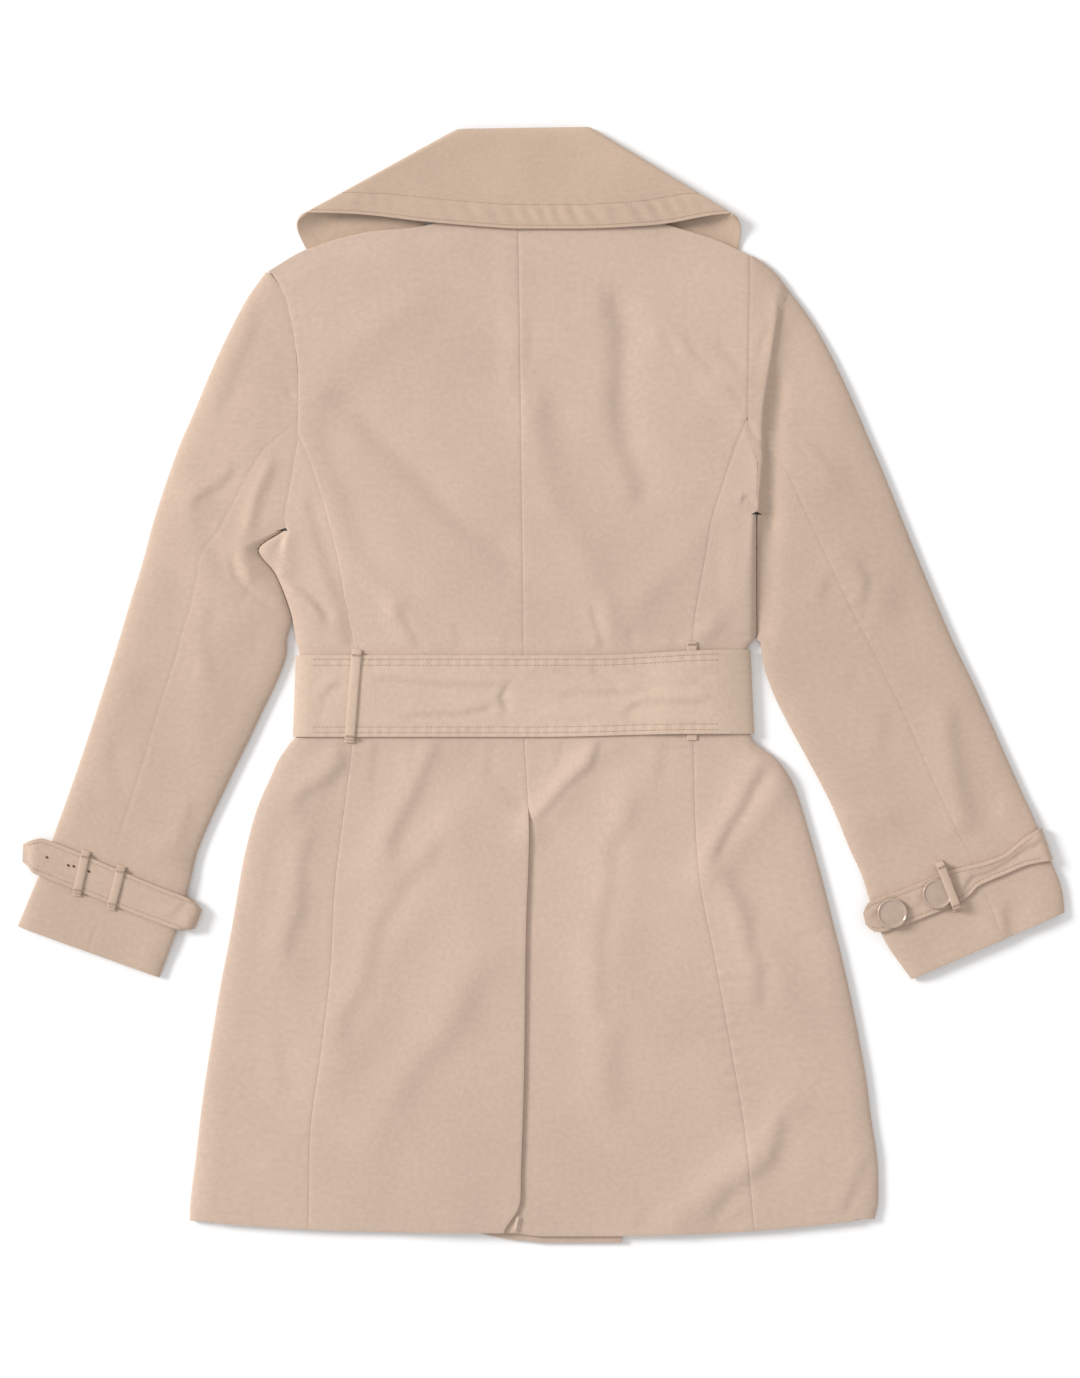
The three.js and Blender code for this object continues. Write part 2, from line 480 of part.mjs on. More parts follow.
// Belt: a band over the back, round both edges and under the fronts, where its ends meet
const beltHigh = (x, y) => crest(x, y) + LAY_GAP + STRAP_WALL
  + TRIM_WALL * 1.25 * smooth(2.2 - Math.abs(x - RIGHT_LOOP_X) / RAMP);
const BELT_ENDS = { left: { low: -198.6, high: -196.2 }, right: { low: 170, high: 167 } };
function belt() {
  const rows = [0, 0.33, 0.67, 1].map((up) => {
    const height = (x) => mix(-41.8 + 2.4 * smooth(x / 120), 23.4 + 4.4 * smooth((x - 40) / 110), up);
    const [left, right] = ["left", "right"].map((side) => mix(BELT_ENDS[side].low, BELT_ENDS[side].high, up));
    const top = spread(left + EDGE_ROLL, right - EDGE_ROLL, 19).map((x) => over(x, height(x), beltHigh));
    const side = (edge, inward, end) => {
      const turn = rolled([edge, height(edge)], [inward, 0], beltHigh, () => 0, 5).slice(1);
      const front = spread(edge + inward * EDGE_ROLL, end, 5).slice(1);
      return [...turn, ...front.map((x) => under(x, height(x), () => 0))];
    };
    return [...side(left, 1, -SEAM_GAP).reverse(), ...top, ...side(right, -1, SEAM_GAP)];
  });
  return cloth("belt", trimCloth, rows, STRAP_WALL);
}

// A narrow strip sewn down at both ends, which bridges what lies between them
function bridge(name, from, to, width, high) {
  const length = Math.hypot(to[0] - from[0], to[1] - from[1]);
  const [dx, dy] = [(to[0] - from[0]) / length, (to[1] - from[1]) / length];
  const foot = 1.5;
  const rise = 1.2;
  const stops = [-foot - rise, -rise, ...spread(0, length, 5), length + rise, length + rise + foot];
  const rows = [-0.5, 0, 0.5].map((share) => stops.map((stop) => {
    const beside = width * share;
    const [x, y] = [from[0] + dx * stop - dy * beside, from[1] + dy * stop + dx * beside];
    const isRaised = stop >= 0 && stop <= length;
    return over(x, y, isRaised ? high : (a, b) => crest(a, b) + LAY_GAP + TRIM_WALL);
  }));
  return cloth(name, trimCloth, rows, TRIM_WALL);
}
function beltLoops() {
  const high = (x, y) => beltHigh(x, y) + LAY_GAP + TRIM_WALL;
  const left = bridge("belt_loop_left", [-147.4, 25.4], [-153, -43.6], LOOP_WIDTH, high);
  const flat = [-0.5, 0, 0.5].map((share) => spread(34, -44.5, 6).map((y) =>
    over(RIGHT_LOOP_X + share * LOOP_WIDTH, y, (a, b) => crest(a, b) + SEAM_GAP + TRIM_WALL)));
  return [left, cloth("belt_loop_right", trimCloth, flat, TRIM_WALL)];
}

// Cuff straps
const strapHigh = (x, y) => crest(x, y) + LAY_GAP + STRAP_WALL;
function cuffStrap(side) {
  const line = STRAPS[side];
  const last = line.length - 1;
  const chamfer = side === "left" ? STRAP_CHAMFER : 0;
  const droop = side === "left" ? TAB_DROOP : 0;
  const high = (x, y) => strapHigh(x, y) - droop * (1 - smooth((x - line[0].x) / TAB_LENGTH));
  const rows = [-0.5, -0.28, 0, 0.28, 0.5].map((share) => {
    const offset = (index) => {
      const [before, after] = [line[Math.max(index - 1, 0)], line[Math.min(index + 1, last)]];
      const length = Math.hypot(after.x - before.x, after.y - before.y);
      const ahead = [(after.x - before.x) / length, (after.y - before.y) / length];
      const beside = line[index].width * share;
      return { ahead, x: line[index].x - ahead[1] * beside, y: line[index].y + ahead[0] * beside };
    };
    const top = line.slice(0, -1).map((point, index) => offset(index)).map(({ x, y }) => over(x, y, high));
    const end = offset(last);
    const back = chamfer * smooth((Math.abs(share) - 0.28) / 0.22);
    const edge = [end.x - end.ahead[0] * back, end.y - end.ahead[1] * back];
    const inward = end.ahead.map((part) => -part);
    const turn = rolled(edge, inward, strapHigh, () => 0, 4);
    const below = [0.5, 1].map((part) => {
      const reach = EDGE_ROLL + STRAP_UNDER * part;
      return under(edge[0] + inward[0] * reach, edge[1] + inward[1] * reach, () => 0);
    });
    return [...top, ...turn, ...below];
  });
  return cloth(`cuff_strap_${side}`, trimCloth, rows, STRAP_WALL);
}
function carriers() {
  const low = (x, y) => strapHigh(x, y) + LAY_GAP + TRIM_WALL;
  const high = (x, y) => low(x, y) + BUTTON_HEIGHT + LAY_GAP;
  return [
    bridge("strap_carrier_left_outer", [-363.7, -135.3], [-370.3, -166.1], CARRIER_WIDTH, low),
    bridge("strap_carrier_left_inner", [-335.4, -147.2], [-343, -177.2], CARRIER_WIDTH, low),
    bridge("strap_carrier_right", [317.7, -143.7], [330.9, -178.1], CARRIER_WIDTH, high)];
}

// Buttons: a turned disc with a raised rim
function buttons() {
  const [r, h] = [BUTTON_RADIUS, BUTTON_HEIGHT];
  const profile = [[0, 0], [r - 1.2, 0], [r, 1], [r, h - 0.9], [r - 1, h], [r - 2.4, h - 0.2],
    [r - 3.6, h - 1], [0, h - 1]];
  return [[279.6, -182.4], [315.6, -166.9]].map(([x, y], index) => {
    const geometry = new THREE.LatheGeometry(profile.map(([px, py]) => new THREE.Vector2(px, py)), 24);
    geometry.rotateX(Math.PI / 2);
    const mesh = new THREE.Mesh(geometry, buttonFinish);
    mesh.name = `cuff_button_${index + 1}`;
    mesh.position.set(x, y, strapHigh(x, y) + LAY_GAP);
    return mesh;
  });
}

const coat = new THREE.Group();
for (const side of ["left", "right"]) {
  coat.add(backPanel(side), sideBackPanel(side), frontPanel(side), sleeveUpper(side), sleeveUnder(side));
  coat.add(cuffStrap(side));
}
coat.add(collarFall(), collarStand(), belt(), ...beltLoops(), ...carriers(), ...buttons());

export default coat;
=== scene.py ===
# %% [markdown]
# # A trench coat, laid out flat
# This lesson dresses a flat-laid trench coat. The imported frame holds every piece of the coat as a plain
# closed wall. Here each wall is replaced by the same wall with a finer skin: more rows, the creases,
# the puckers beside the seams, the stitching and the weave.

# %% Load the frame
import math

import bmesh
import bpy
import numpy as np
from mathutils import Matrix, Vector, noise


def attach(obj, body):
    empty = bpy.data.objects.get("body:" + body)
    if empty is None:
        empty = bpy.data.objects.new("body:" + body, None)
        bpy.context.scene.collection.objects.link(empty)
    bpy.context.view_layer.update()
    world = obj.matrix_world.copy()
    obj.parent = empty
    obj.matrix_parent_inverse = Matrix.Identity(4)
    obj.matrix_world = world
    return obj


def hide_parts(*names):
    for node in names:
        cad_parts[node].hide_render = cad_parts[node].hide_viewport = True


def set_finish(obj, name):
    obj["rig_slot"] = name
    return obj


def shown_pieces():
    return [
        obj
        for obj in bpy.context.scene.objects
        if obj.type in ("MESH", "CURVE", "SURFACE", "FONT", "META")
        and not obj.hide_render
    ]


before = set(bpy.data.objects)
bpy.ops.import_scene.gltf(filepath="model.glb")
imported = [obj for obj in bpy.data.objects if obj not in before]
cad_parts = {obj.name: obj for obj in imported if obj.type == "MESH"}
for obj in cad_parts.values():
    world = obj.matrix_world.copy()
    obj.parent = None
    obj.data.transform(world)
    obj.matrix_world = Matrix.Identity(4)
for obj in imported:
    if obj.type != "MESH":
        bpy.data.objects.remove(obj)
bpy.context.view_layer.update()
MM = 0.001

# %% [markdown]
# ## The camera
# The coat is photographed from straight above, like an object on a copy stand. A long lens far away
# keeps the outline free of perspective. The picture takes in 1102 mm of table from top to bottom.

# %% Camera
PICTURE_HEIGHT = 1102.4 * MM
PICTURE_MIDDLE = Vector((-1.2, -3.6, 0)) * MM
CAMERA_HEIGHT = 3.2
SENSOR = 36.0
camera_data = bpy.data.cameras.new("copy_stand")
camera_data.sensor_width = SENSOR
camera_data.lens = SENSOR * CAMERA_HEIGHT / PICTURE_HEIGHT
camera = bpy.data.objects.new("copy_stand", camera_data)
camera.location = PICTURE_MIDDLE + Vector((0, 0, CAMERA_HEIGHT))
bpy.context.collection.objects.link(camera)
bpy.context.scene.camera = camera
print("lens", round(camera_data.lens, 1))

# %% [markdown]
# ## Lines from tables
# A pattern cutter draws a seam through a few marked points with a curved rule. `along` does the same:
# it runs a smooth curve through the rows of a table, without overshooting between them. The tables give
# millimetres, with Y up the coat and X across it.

# %% Tables of the cut
def named(columns, rows):
    keys = columns.split()
    return [dict(zip(keys, row)) for row in rows]


BODY_EDGE = {
    "left": named("y x", [
        (-430, -281.2), (-412, -280.4), (-380, -276.4), (-332, -270.8), (-284, -263.6), (-236, -255.6),
        (-204, -249.2), (-172, -243.6), (-140, -238), (-108, -230), (-92, -224.4), (-76, -217.2),
        (-60, -210), (-46, -200), (-40, -194.5), (0, -193.6), (24, -193), (32, -195.5), (57, -200.4),
        (88, -212.4), (108, -226.4), (125, -204.4), (132, -206), (162, -200.4), (205, -194.4),
        (241, -194.4), (280, -198), (314, -206.8), (330, -218)]),
    "right": named("y x", [
        (-430, 265.6), (-412, 269.2), (-380, 268.4), (-348, 263.6), (-316, 259.6), (-284, 254),
        (-252, 247.6), (-220, 240.4), (-188, 232.4), (-156, 224.4), (-124, 215.6), (-92, 206),
        (-76, 199.6), (-60, 188), (-46, 170), (-40, 166.6), (0, 165.2), (24, 164), (30, 165), (40, 172),
        (80, 171.6), (131, 171.6), (176, 172), (198, 165.2), (215, 164.4), (268, 165.2), (320, 166),
        (343, 166)])}
CENTRE_BACK = named("y x", [
    (-438, -21), (-418, -17.2), (-392, -16.4), (-315, -14), (-198, -12.4), (-120, -10), (-44, -13.5),
    (68, -14.8), (268, -17.2), (384, -18.8)])
PRINCESS = {
    "left": named("y x", [
        (-430, -186), (-354, -184.4), (-296, -176.4), (-229, -168.7), (-159, -164.8), (-81, -155.1),
        (-48, -151.2), (29, -150), (68, -157.2), (107, -164.4), (165, -180.4), (200, -193.6)]),
    "right": named("y x", [
        (-436, 170), (-354, 162), (-288, 150.8), (-221, 138.8), (-148, 125.2), (-42, 121.2), (29, 120.4),
        (52, 122), (107, 131.6), (131, 135.6), (162, 145.2), (195, 156.1), (211, 163.6)])}
HEM_LINE = named("x y", [
    (-285, -428), (-193, -434.8), (-113, -437.2), (-23, -438), (0, -440.5), (64, -440.4), (167, -436.4),
    (270, -426.5)])
BACK_TOP = named("x y", [
    (-218, 330), (-189, 346.8), (-144, 360.4), (-90.8, 366.8), (-60, 379), (-20, 383), (24, 383),
    (66, 379), (98.8, 367.6), (139.6, 354.8), (166, 342.8)])
FALL_EDGE = named("x y", [
    (-192, 376.5), (-142, 374.8), (-91.6, 369.2), (-21.2, 363.6), (30, 363.6), (62.8, 364.7),
    (98.8, 367.6), (134.8, 374), (156, 376)])
SLEEVE = {
    "left": named("inY inX outX outY seam", [
        (-234, -305.2, -418.6, -193.2, 0.5), (-208.4, -295.6, -411.6, -176.4, 0.49),
        (-182, -286.8, -403.6, -158, 0.47), (-156.4, -280.4, -395.6, -138, 0.45),
        (-129.2, -273.2, -385.2, -108.4, 0.44), (-82.8, -252.4, -371.6, -70, 0.416),
        (-31.6, -227.6, -355.6, -22, 0.377), (23.6, -203.6, -338.8, 31.6, 0.363),
        (57, -203.2, -328.5, 66, 0.385), (88, -215, -321, 90, 0.44), (108, -228.5, -315.5, 109.5, 0.5),
        (125, -204.4, -311.6, 124.5, 0.52), (150, -202.5, -303.6, 150.5, 0.594),
        (190, -196, -289.2, 191, 0.739), (211.6, -194.2, -277.8, 217, 0.985),
        (237.2, -194.2, -266.8, 243.6, 1), (271.6, -197, -252.4, 275.6, 1),
        (303.6, -204, -235.6, 307.6, 1), (322.8, -213, -223.5, 325, 1), (330, -218, -219.6, 330.4, 1)]),
    "right": named("inY inX outX outY seam", [
        (-235.6, 295.6, 418, -182, 0.4), (-204.4, 274, 415.5, -162.8, 0.4),
        (-174.8, 262.8, 406.8, -140.4, 0.4), (-151.6, 255.6, 399.6, -122.8, 0.41),
        (-132.4, 246.8, 394, -108.4, 0.418), (-92.4, 230, 379.6, -76.4, 0.43),
        (-26.8, 194.8, 354, -18.8, 0.41), (-4, 184, 343.5, 4, 0.415), (19.6, 176.8, 330, 31.6, 0.426),
        (50, 174, 317.2, 61.2, 0.47), (91.6, 173.4, 301.2, 99.6, 0.55), (149.2, 173.6, 280.4, 151.5, 0.696),
        (176, 172.4, 269.6, 178, 0.8), (195.6, 166, 261.2, 197, 0.95), (211, 164.6, 255, 211.8, 1),
        (251.6, 165.2, 237.2, 251.2, 1), (286.8, 165.6, 218.2, 286.8, 1), (312, 166, 198, 314.5, 1),
        (330, 166, 184, 331.5, 1), (342.8, 166, 168.2, 343.2, 1)])}


# %% A smooth curve through the rows of a table
def along(table, start, end):
    rows = sorted((row[start], row[end]) for row in table)
    at = np.array([row[0] for row in rows], float)
    value = np.array([row[1] for row in rows], float)
    chord = np.diff(value) / np.diff(at)
    slope = np.empty_like(value)
    slope[1:-1] = (value[2:] - value[:-2]) / (at[2:] - at[:-2])
    slope[0], slope[-1] = chord[0], chord[-1]

    def curve(where):
        where = np.asarray(where, float)
        i = np.clip(np.searchsorted(at, where, side="right") - 1, 0, len(chord) - 1)
        span = at[i + 1] - at[i]
        t = np.clip((where - at[i]) / span, 0, 1)
        steepest = 3 * np.abs(chord[i])
        first, second = (
            np.where(raw * chord[i] <= 0, 0, np.sign(chord[i]) * np.minimum(np.abs(raw), steepest))
            for raw in (slope[i], slope[i + 1]))
        return (value[i] * (1 - t) ** 2 * (1 + 2 * t) + value[i + 1] * t ** 2 * (3 - 2 * t)
                + span * t * (1 - t) * ((1 - t) * first - t * second))
    return curve


def mix(a, b, t):
    return a + (b - a) * t


def smooth(t):
    t = np.clip(t, 0, 1)
    return t * t * (3 - 2 * t)


body_edge = {side: along(table, "y", "x") for side, table in BODY_EDGE.items()}
princess = {side: along(table, "y", "x") for side, table in PRINCESS.items()}
centre_back = along(CENTRE_BACK, "y", "x")
hem_line = along(HEM_LINE, "x", "y")
back_top = along(BACK_TOP, "x", "y")
fall_edge = along(FALL_EDGE, "x", "y")
sleeve_line = {side: {key: along(table, "inY", key) for key in ("inX", "outX", "outY", "seam")}
               for side, table in SLEEVE.items()}
print("waist from", body_edge["left"](0), "to", body_edge["right"](0))

# %% [markdown]
# ## How high the cloth lies
# Laid flat, a coat is a stack of layers: the outer front on the table, the inner front on it, and the
# back on top. Over that even stack the cloth keeps soft troughs and ridges. Each one is a row in a table:
# where it runs, how wide it is and how high. A trough has a height below zero. A simulation would give
# other folds every time the cloth is touched, so they are listed where this coat has them.

# %% The lay of the cloth
WALL, STRAP_WALL, TRIM_WALL, COLLAR_WALL = 2.0, 1.8, 1.2, 1.8
SEAM_GAP, LAY_GAP, RAMP, EDGE_ROLL, SHOULDER_ROLL = 0.3, 0.6, 14.0, 7.0, 18.0
BUTT = 0.05
CREST = 7.8
BELT_TOP, BELT_BOTTOM = 28.0, -42.5
VENT_TOP, VENT_UNDERLAP, VENT_RAISE, VENT_EASE = -110.0, 34.0, 2.8, 62.0
LEAF_LOW, LEAF_INNER, NECK_MIDDLE = 328.0, 62.0, -18.0
WAIST = (-200.5, 173.5)
STRAP_ZONE, STRAP_WIDTH = 240.0, 27.0
STRAPS = {
    "left": named("x y width", [
        (-414.5, -134.6, 14), (-408, -135, 22), (-401.5, -136.6, 29), (-380, -145, 29),
        (-350, -157.5, 28), (-320, -170, 27.5), (-298, -178.6, 27), (-273.6, -187.5, 27)]),
    "right": named("x y width", [
        (257.5, -187, 9), (262, -186, 22), (270, -184, 27), (288, -178, 27), (306, -171, 27),
        (323, -164, 27), (334, -158.5, 25), (343, -153.4, 19), (354, -149.4, 16), (370, -143.2, 15),
        (381, -137, 18), (391, -131.8, 23), (404.2, -127, 27)])}
FOLDS = named("x0 y0 x1 y1 width height", [
    (-154, 219, -28, 104, 16, -1.3), (-100, 300, -180, 234, 18, 1.4), (60, 300, 61, 198, 16, -1.2),
    (-4, 215, 37, 89, 15, 1.6), (99, 277, 157, 245, 12, 1.8), (139, 234, 162, 216, 9, 1.5),
    (146, 144, 73, 60, 16, 1.2), (-115, 56, -93, 28, 11, 2), (52, 60, 56, 28, 10, 1.8),
    (135, 45, 122, 30, 9, 2), (-80, -50, -126, -140, 17, 2.4), (-157, -54, -192, -92, 14, 2),
    (-188, -132, -204, -213, 17, 1.8), (-76, -120, -161, -296, 20, 2.2), (-48, -229, -134, -361, 20, 1.6),
    (49, -48, -5, -114, 12, 2.6), (72, -93, 45, -316, 18, 1.8), (148, -40, 173, -59, 9, 2),
    (189, -77, 135, -148, 15, 3.2), (158, -175, 189, -237, 15, 2), (162, -377, 112, -424, 14, 2),
    (197, -338, 170, -392, 14, 1.6), (-276, 142, -228, 79, 14, 3), (-260, 40, -272, -36, 18, 1.4),
    (-303, -134, -323, -150, 12, 1.4), (194, 190, 226, 166, 14, 2.2), (241, 95, 265, 71, 14, 2.4),
    (332, -40, 344, -122, 17, 1.8), (241, -110, 273, -108, 11, 1.4), (189, 240, 182, 130, 8, -2),
    (182, 130, 178, 45, 8, -2)])
FOLD_FADE, BELT_CALM = 1.4, 0.85


def fold_height(x, y, folds):
    height = np.zeros_like(x)
    for fold in folds:
        run = np.array([fold["x1"] - fold["x0"], fold["y1"] - fold["y0"]], float)
        length = np.hypot(*run)
        run /= length
        ahead = (x - fold["x0"]) * run[0] + (y - fold["y0"]) * run[1]
        beside = (x - fold["x0"]) * run[1] - (y - fold["y0"]) * run[0]
        past = np.maximum(np.maximum(-ahead, ahead - length), 0)
        width = fold["width"]
        height += fold["height"] * np.exp(-(beside / width) ** 2 - (past / (FOLD_FADE * width)) ** 2)
    return height


def band(value, low, high):
    return smooth((value - low) / RAMP + 1) * smooth((high - value) / RAMP + 1)


def at_waist(x, y):
    return np.where((x > WAIST[0]) & (x < WAIST[1]), band(y, BELT_BOTTOM, BELT_TOP), 0)


def strap_band(x, y):
    total = np.zeros_like(x)
    for side, line in STRAPS.items():
        start = np.array([line[0]["x"], line[0]["y"]], float)
        run = np.array([line[-1]["x"], line[-1]["y"]], float) - start
        beside = ((x - start[0]) * run[1] - (y - start[1]) * run[0]) / np.hypot(*run)
        reach = smooth((STRAP_WIDTH / 2 + 2 * RAMP - np.abs(beside)) / RAMP)
        here = (x < -STRAP_ZONE) if side == "left" else (x > STRAP_ZONE)
        total += np.where(here, reach, 0)
    return total


def body_low(x, y):
    leaf = smooth((y - LEAF_LOW) / RAMP + 1) * smooth((np.abs(x - NECK_MIDDLE) - LEAF_INNER) / RAMP)
    return (STRAP_WALL + SEAM_GAP) * band(y, BELT_BOTTOM, BELT_TOP) + (COLLAR_WALL + SEAM_GAP) * leaf


def sleeve_low(x, y):
    return (STRAP_WALL + SEAM_GAP) * strap_band(x, y)


def crest(x, y):
    from_centre = x - centre_back(y)
    lap = np.where(from_centre < 0, smooth(from_centre / (2 * VENT_UNDERLAP) + 1.6), 0)
    ease = mix(RAMP, VENT_EASE, smooth(-from_centre / 45))
    calm = 1 - BELT_CALM * np.maximum(at_waist(x, y), strap_band(x, y))
    return (CREST + fold_height(x, y, FOLDS) * calm + at_waist(x, y)
            + VENT_RAISE * smooth((VENT_TOP - y) / ease + 1) * lap)


print("highest fold", max(fold["height"] for fold in FOLDS), "mm")

# %% [markdown]
# ## Creases
# A crease in pressed cotton has a soft ridge on one side, a short fall, and a soft trough on the other. A
# row gives the line it follows, how wide the fall is, how far ridge and trough reach, how deep the fall is
# and how far the line itself sinks. The cloth falls to the left of the way the line runs. Creases fade out
# at both ends, and they are drawn one by one because they are what makes this coat look worn.

# %% Creases of the body and sleeves
UPPER_BACK = named("line wide reach fall dip", [
    ([(-90, 303), (-120, 285), (-150, 265), (-188, 248)], 10, 26, 0.9, 0),
    ([(-180, 230), (-150, 218), (-140, 205), (-120, 185), (-100, 165), (-80, 140), (-60, 122), (-18, 98)],
     7, 20, 0.9, 0.8),
    ([(-185, 225), (-175, 190), (-160, 150), (-145, 105), (-130, 88), (-95, 60)], 9, 22, 1.2, 0.2),
    ([(-155, 85), (-120, 55)], 3.5, 9, 0.2, 0.45),
    ([(-118, 66), (-100, 35), (-92, 20)], 4, 11, 0.8, 0.9),
    ([(-190, 156), (-180, 120), (-170, 90), (-160, 60), (-152, 22)], 6, 13, 1.2, 0.2),
    ([(-36, 366), (-31, 300), (-30, 222)], 8, 16, -0.5, 0),
    ([(-12, 302), (-14, 250)], 6, 12, 0.7, 0),
    ([(2, 246), (0, 205), (6, 170), (15, 140), (27, 112)], 10, 24, 1.5, 0),
    ([(48, 322), (61, 285), (60, 255), (59, 225), (64, 190), (76, 160), (76, 134)], 8, 20, 1.9, 0.4),
    ([(93, 285), (110, 260)], 3, 9, 0.2, 0.7), ([(113, 283), (125, 262), (142, 246)], 3, 8, 0.3, 0.8),
    ([(138, 275), (150, 262), (163, 245)], 3, 8, 0.3, 0.7), ([(148, 238), (163, 220)], 3, 7, 0.2, 0.6),
    ([(160, 217), (172, 190), (177, 162)], 2.5, 6, 0.4, 0.3), ([(144, 170), (106, 125)], 8, 18, 0.6, 0),
    ([(109, 90), (76, 55)], 8, 18, 0.6, 0), ([(146, 158), (148, 52)], 8, 16, -0.6, 0),
    ([(38, 66), (47, 38), (51, 18)], 2.5, 8, 0.7, 0.6), ([(168, 43), (143, 34)], 3, 7, 0.5, 0.2),
    ([(-70, 52), (-66, 20)], 3, 8, 0.35, 0.1), ([(-28, 46), (-30, 20)], 3, 8, 0.3, 0.1),
    ([(68, 50), (72, 20)], 3, 8, 0.35, 0.1), ([(104, 46), (106, 20)], 3, 8, 0.3, 0.2),
    ([(-208, 86), (-195, 78), (-180, 65), (-168, 46)], 3, 10, 1.4, 0.5),
    ([(-207, 139), (-195, 135), (-184, 123)], 2.5, 7, 0.3, 0.4)])
SKIRT = named("line wide reach fall dip", [
    ([(-160, -40), (-158, -65), (-170, -78), (-185, -85), (-203, -102)], 5, 15, 1.3, 0.5),
    ([(-176, -112), (-188, -132), (-191, -150), (-191, -180), (-200, -200), (-204, -226)], 6, 16, 1.1, 0.1),
    ([(-76, -36), (-90, -65), (-100, -90), (-110, -108), (-118, -125), (-121, -146)], 6, 19, 1.6, 0.4),
    ([(-73, -116), (-90, -140), (-105, -155), (-115, -170), (-130, -195), (-140, -240), (-155, -265),
      (-161, -296)], 7, 20, 1.4, 0.2),
    ([(-33, -216), (-55, -240), (-60, -260), (-80, -290), (-100, -310), (-124, -350)], 10, 25, 1.1, 0),
    ([(-212, -276), (-204, -336)], 6, 14, 0.5, 0), ([(-18, -300), (-52, -312)], 2.5, 7, 0.2, 0),
    ([(-132, -38), (-137, -82)], 3, 8, 0.35, 0), ([(-102, -38), (-106, -76)], 3, 8, 0.35, 0.1),
    ([(-40, -38), (-45, -78)], 3, 8, 0.35, 0), ([(16, -38), (10, -76)], 3, 8, 0.3, 0.1),
    ([(50, -36), (40, -65), (20, -82), (5, -100), (-10, -116)], 3.5, 13, 1.3, 0.5),
    ([(76, -80), (70, -110), (55, -130), (55, -160), (47, -200), (47, -276)], 7, 19, 1.2, 0),
    ([(56, -266), (63, -356)], 10, 22, 0.7, 0), ([(98, -38), (92, -86)], 5, 13, 0.6, 0),
    ([(184, -58), (170, -80), (160, -100), (150, -115), (140, -135), (130, -148)], 4.5, 17, 2.2, 0.7),
    ([(148, -38), (160, -55), (177, -61)], 3, 8, 0.3, 0.7), ([(163, -40), (182, -61)], 3, 7, 0.2, 0.6),
    ([(143, -146), (155, -165), (165, -185), (168, -210), (175, -225), (175, -264)], 6, 17, 1.6, 0.3),
    ([(177, -232), (138, -233)], 2, 7, 0.35, 0), ([(132, -278), (116, -279)], 3, 7, 0.4, 0),
    ([(196, -334), (190, -360), (185, -380), (165, -395), (150, -405), (127, -434)], 6, 17, 1.4, 0.2),
    ([(168, -415), (142, -434)], 3.5, 9, 0.6, 0), ([(88, -417), (68, -437)], 4, 10, 0.5, 0),
    ([(262, -374), (250, -400), (239, -428)], 4, 12, 0.9, 0.2),
    ([(228, -194), (196, -201)], 2.5, 8, 0.5, 0)])
LEFT_ARM = named("line wide reach fall dip", [
    ([(-227, 314), (-232, 280), (-242, 260), (-250, 240), (-264, 211)], 6, 16, 0.8, 0),
    ([(-224, 280), (-198, 261)], 4, 9, 0.2, 0.4), ([(-206, 240), (-195, 221)], 3, 7, 0.1, 0.4),
    ([(-229, 208), (-221, 186)], 4, 9, 0.4, 0),
    ([(-241, 176), (-255, 160), (-268, 152), (-284, 140)], 3.5, 11, 0.9, 0.2),
    ([(-286, 150), (-268, 116), (-254, 90), (-236, 70), (-208, 56)], 9, 24, 2.2, 0.6),
    ([(-250, 106), (-243, 86), (-233, 74), (-212, 60)], 3, 8, 0.5, 0.8),
    ([(-213, 184), (-228, 150), (-235, 120), (-237, 100), (-230, 74)], 4.5, 12, 0.4, -1.6),
    ([(-203, 130), (-206, 114), (-212, 89), (-209, 78)], 1.5, 10, -1.6, 0.3),
    ([(-262, 74), (-270, 40), (-265, 15), (-261, -6)], 6, 15, 0.8, 0),
    ([(-300, 96), (-292, 40)], 8, 18, 0.4, 0), ([(-318, 20), (-326, -30)], 8, 18, 0.4, 0),
    ([(-343, -34), (-345, -65), (-334, -96)], 6, 14, 0.6, 0),
    ([(-286, -158), (-308, -143)], 3, 8, 0.5, 0.2), ([(-322, -127), (-308, -148)], 3.5, 9, 0.5, 0),
    ([(-276, -86), (-290, -134)], 4, 11, 0.7, 0), ([(-300, -196), (-310, -228)], 4, 10, 0.5, 0)])
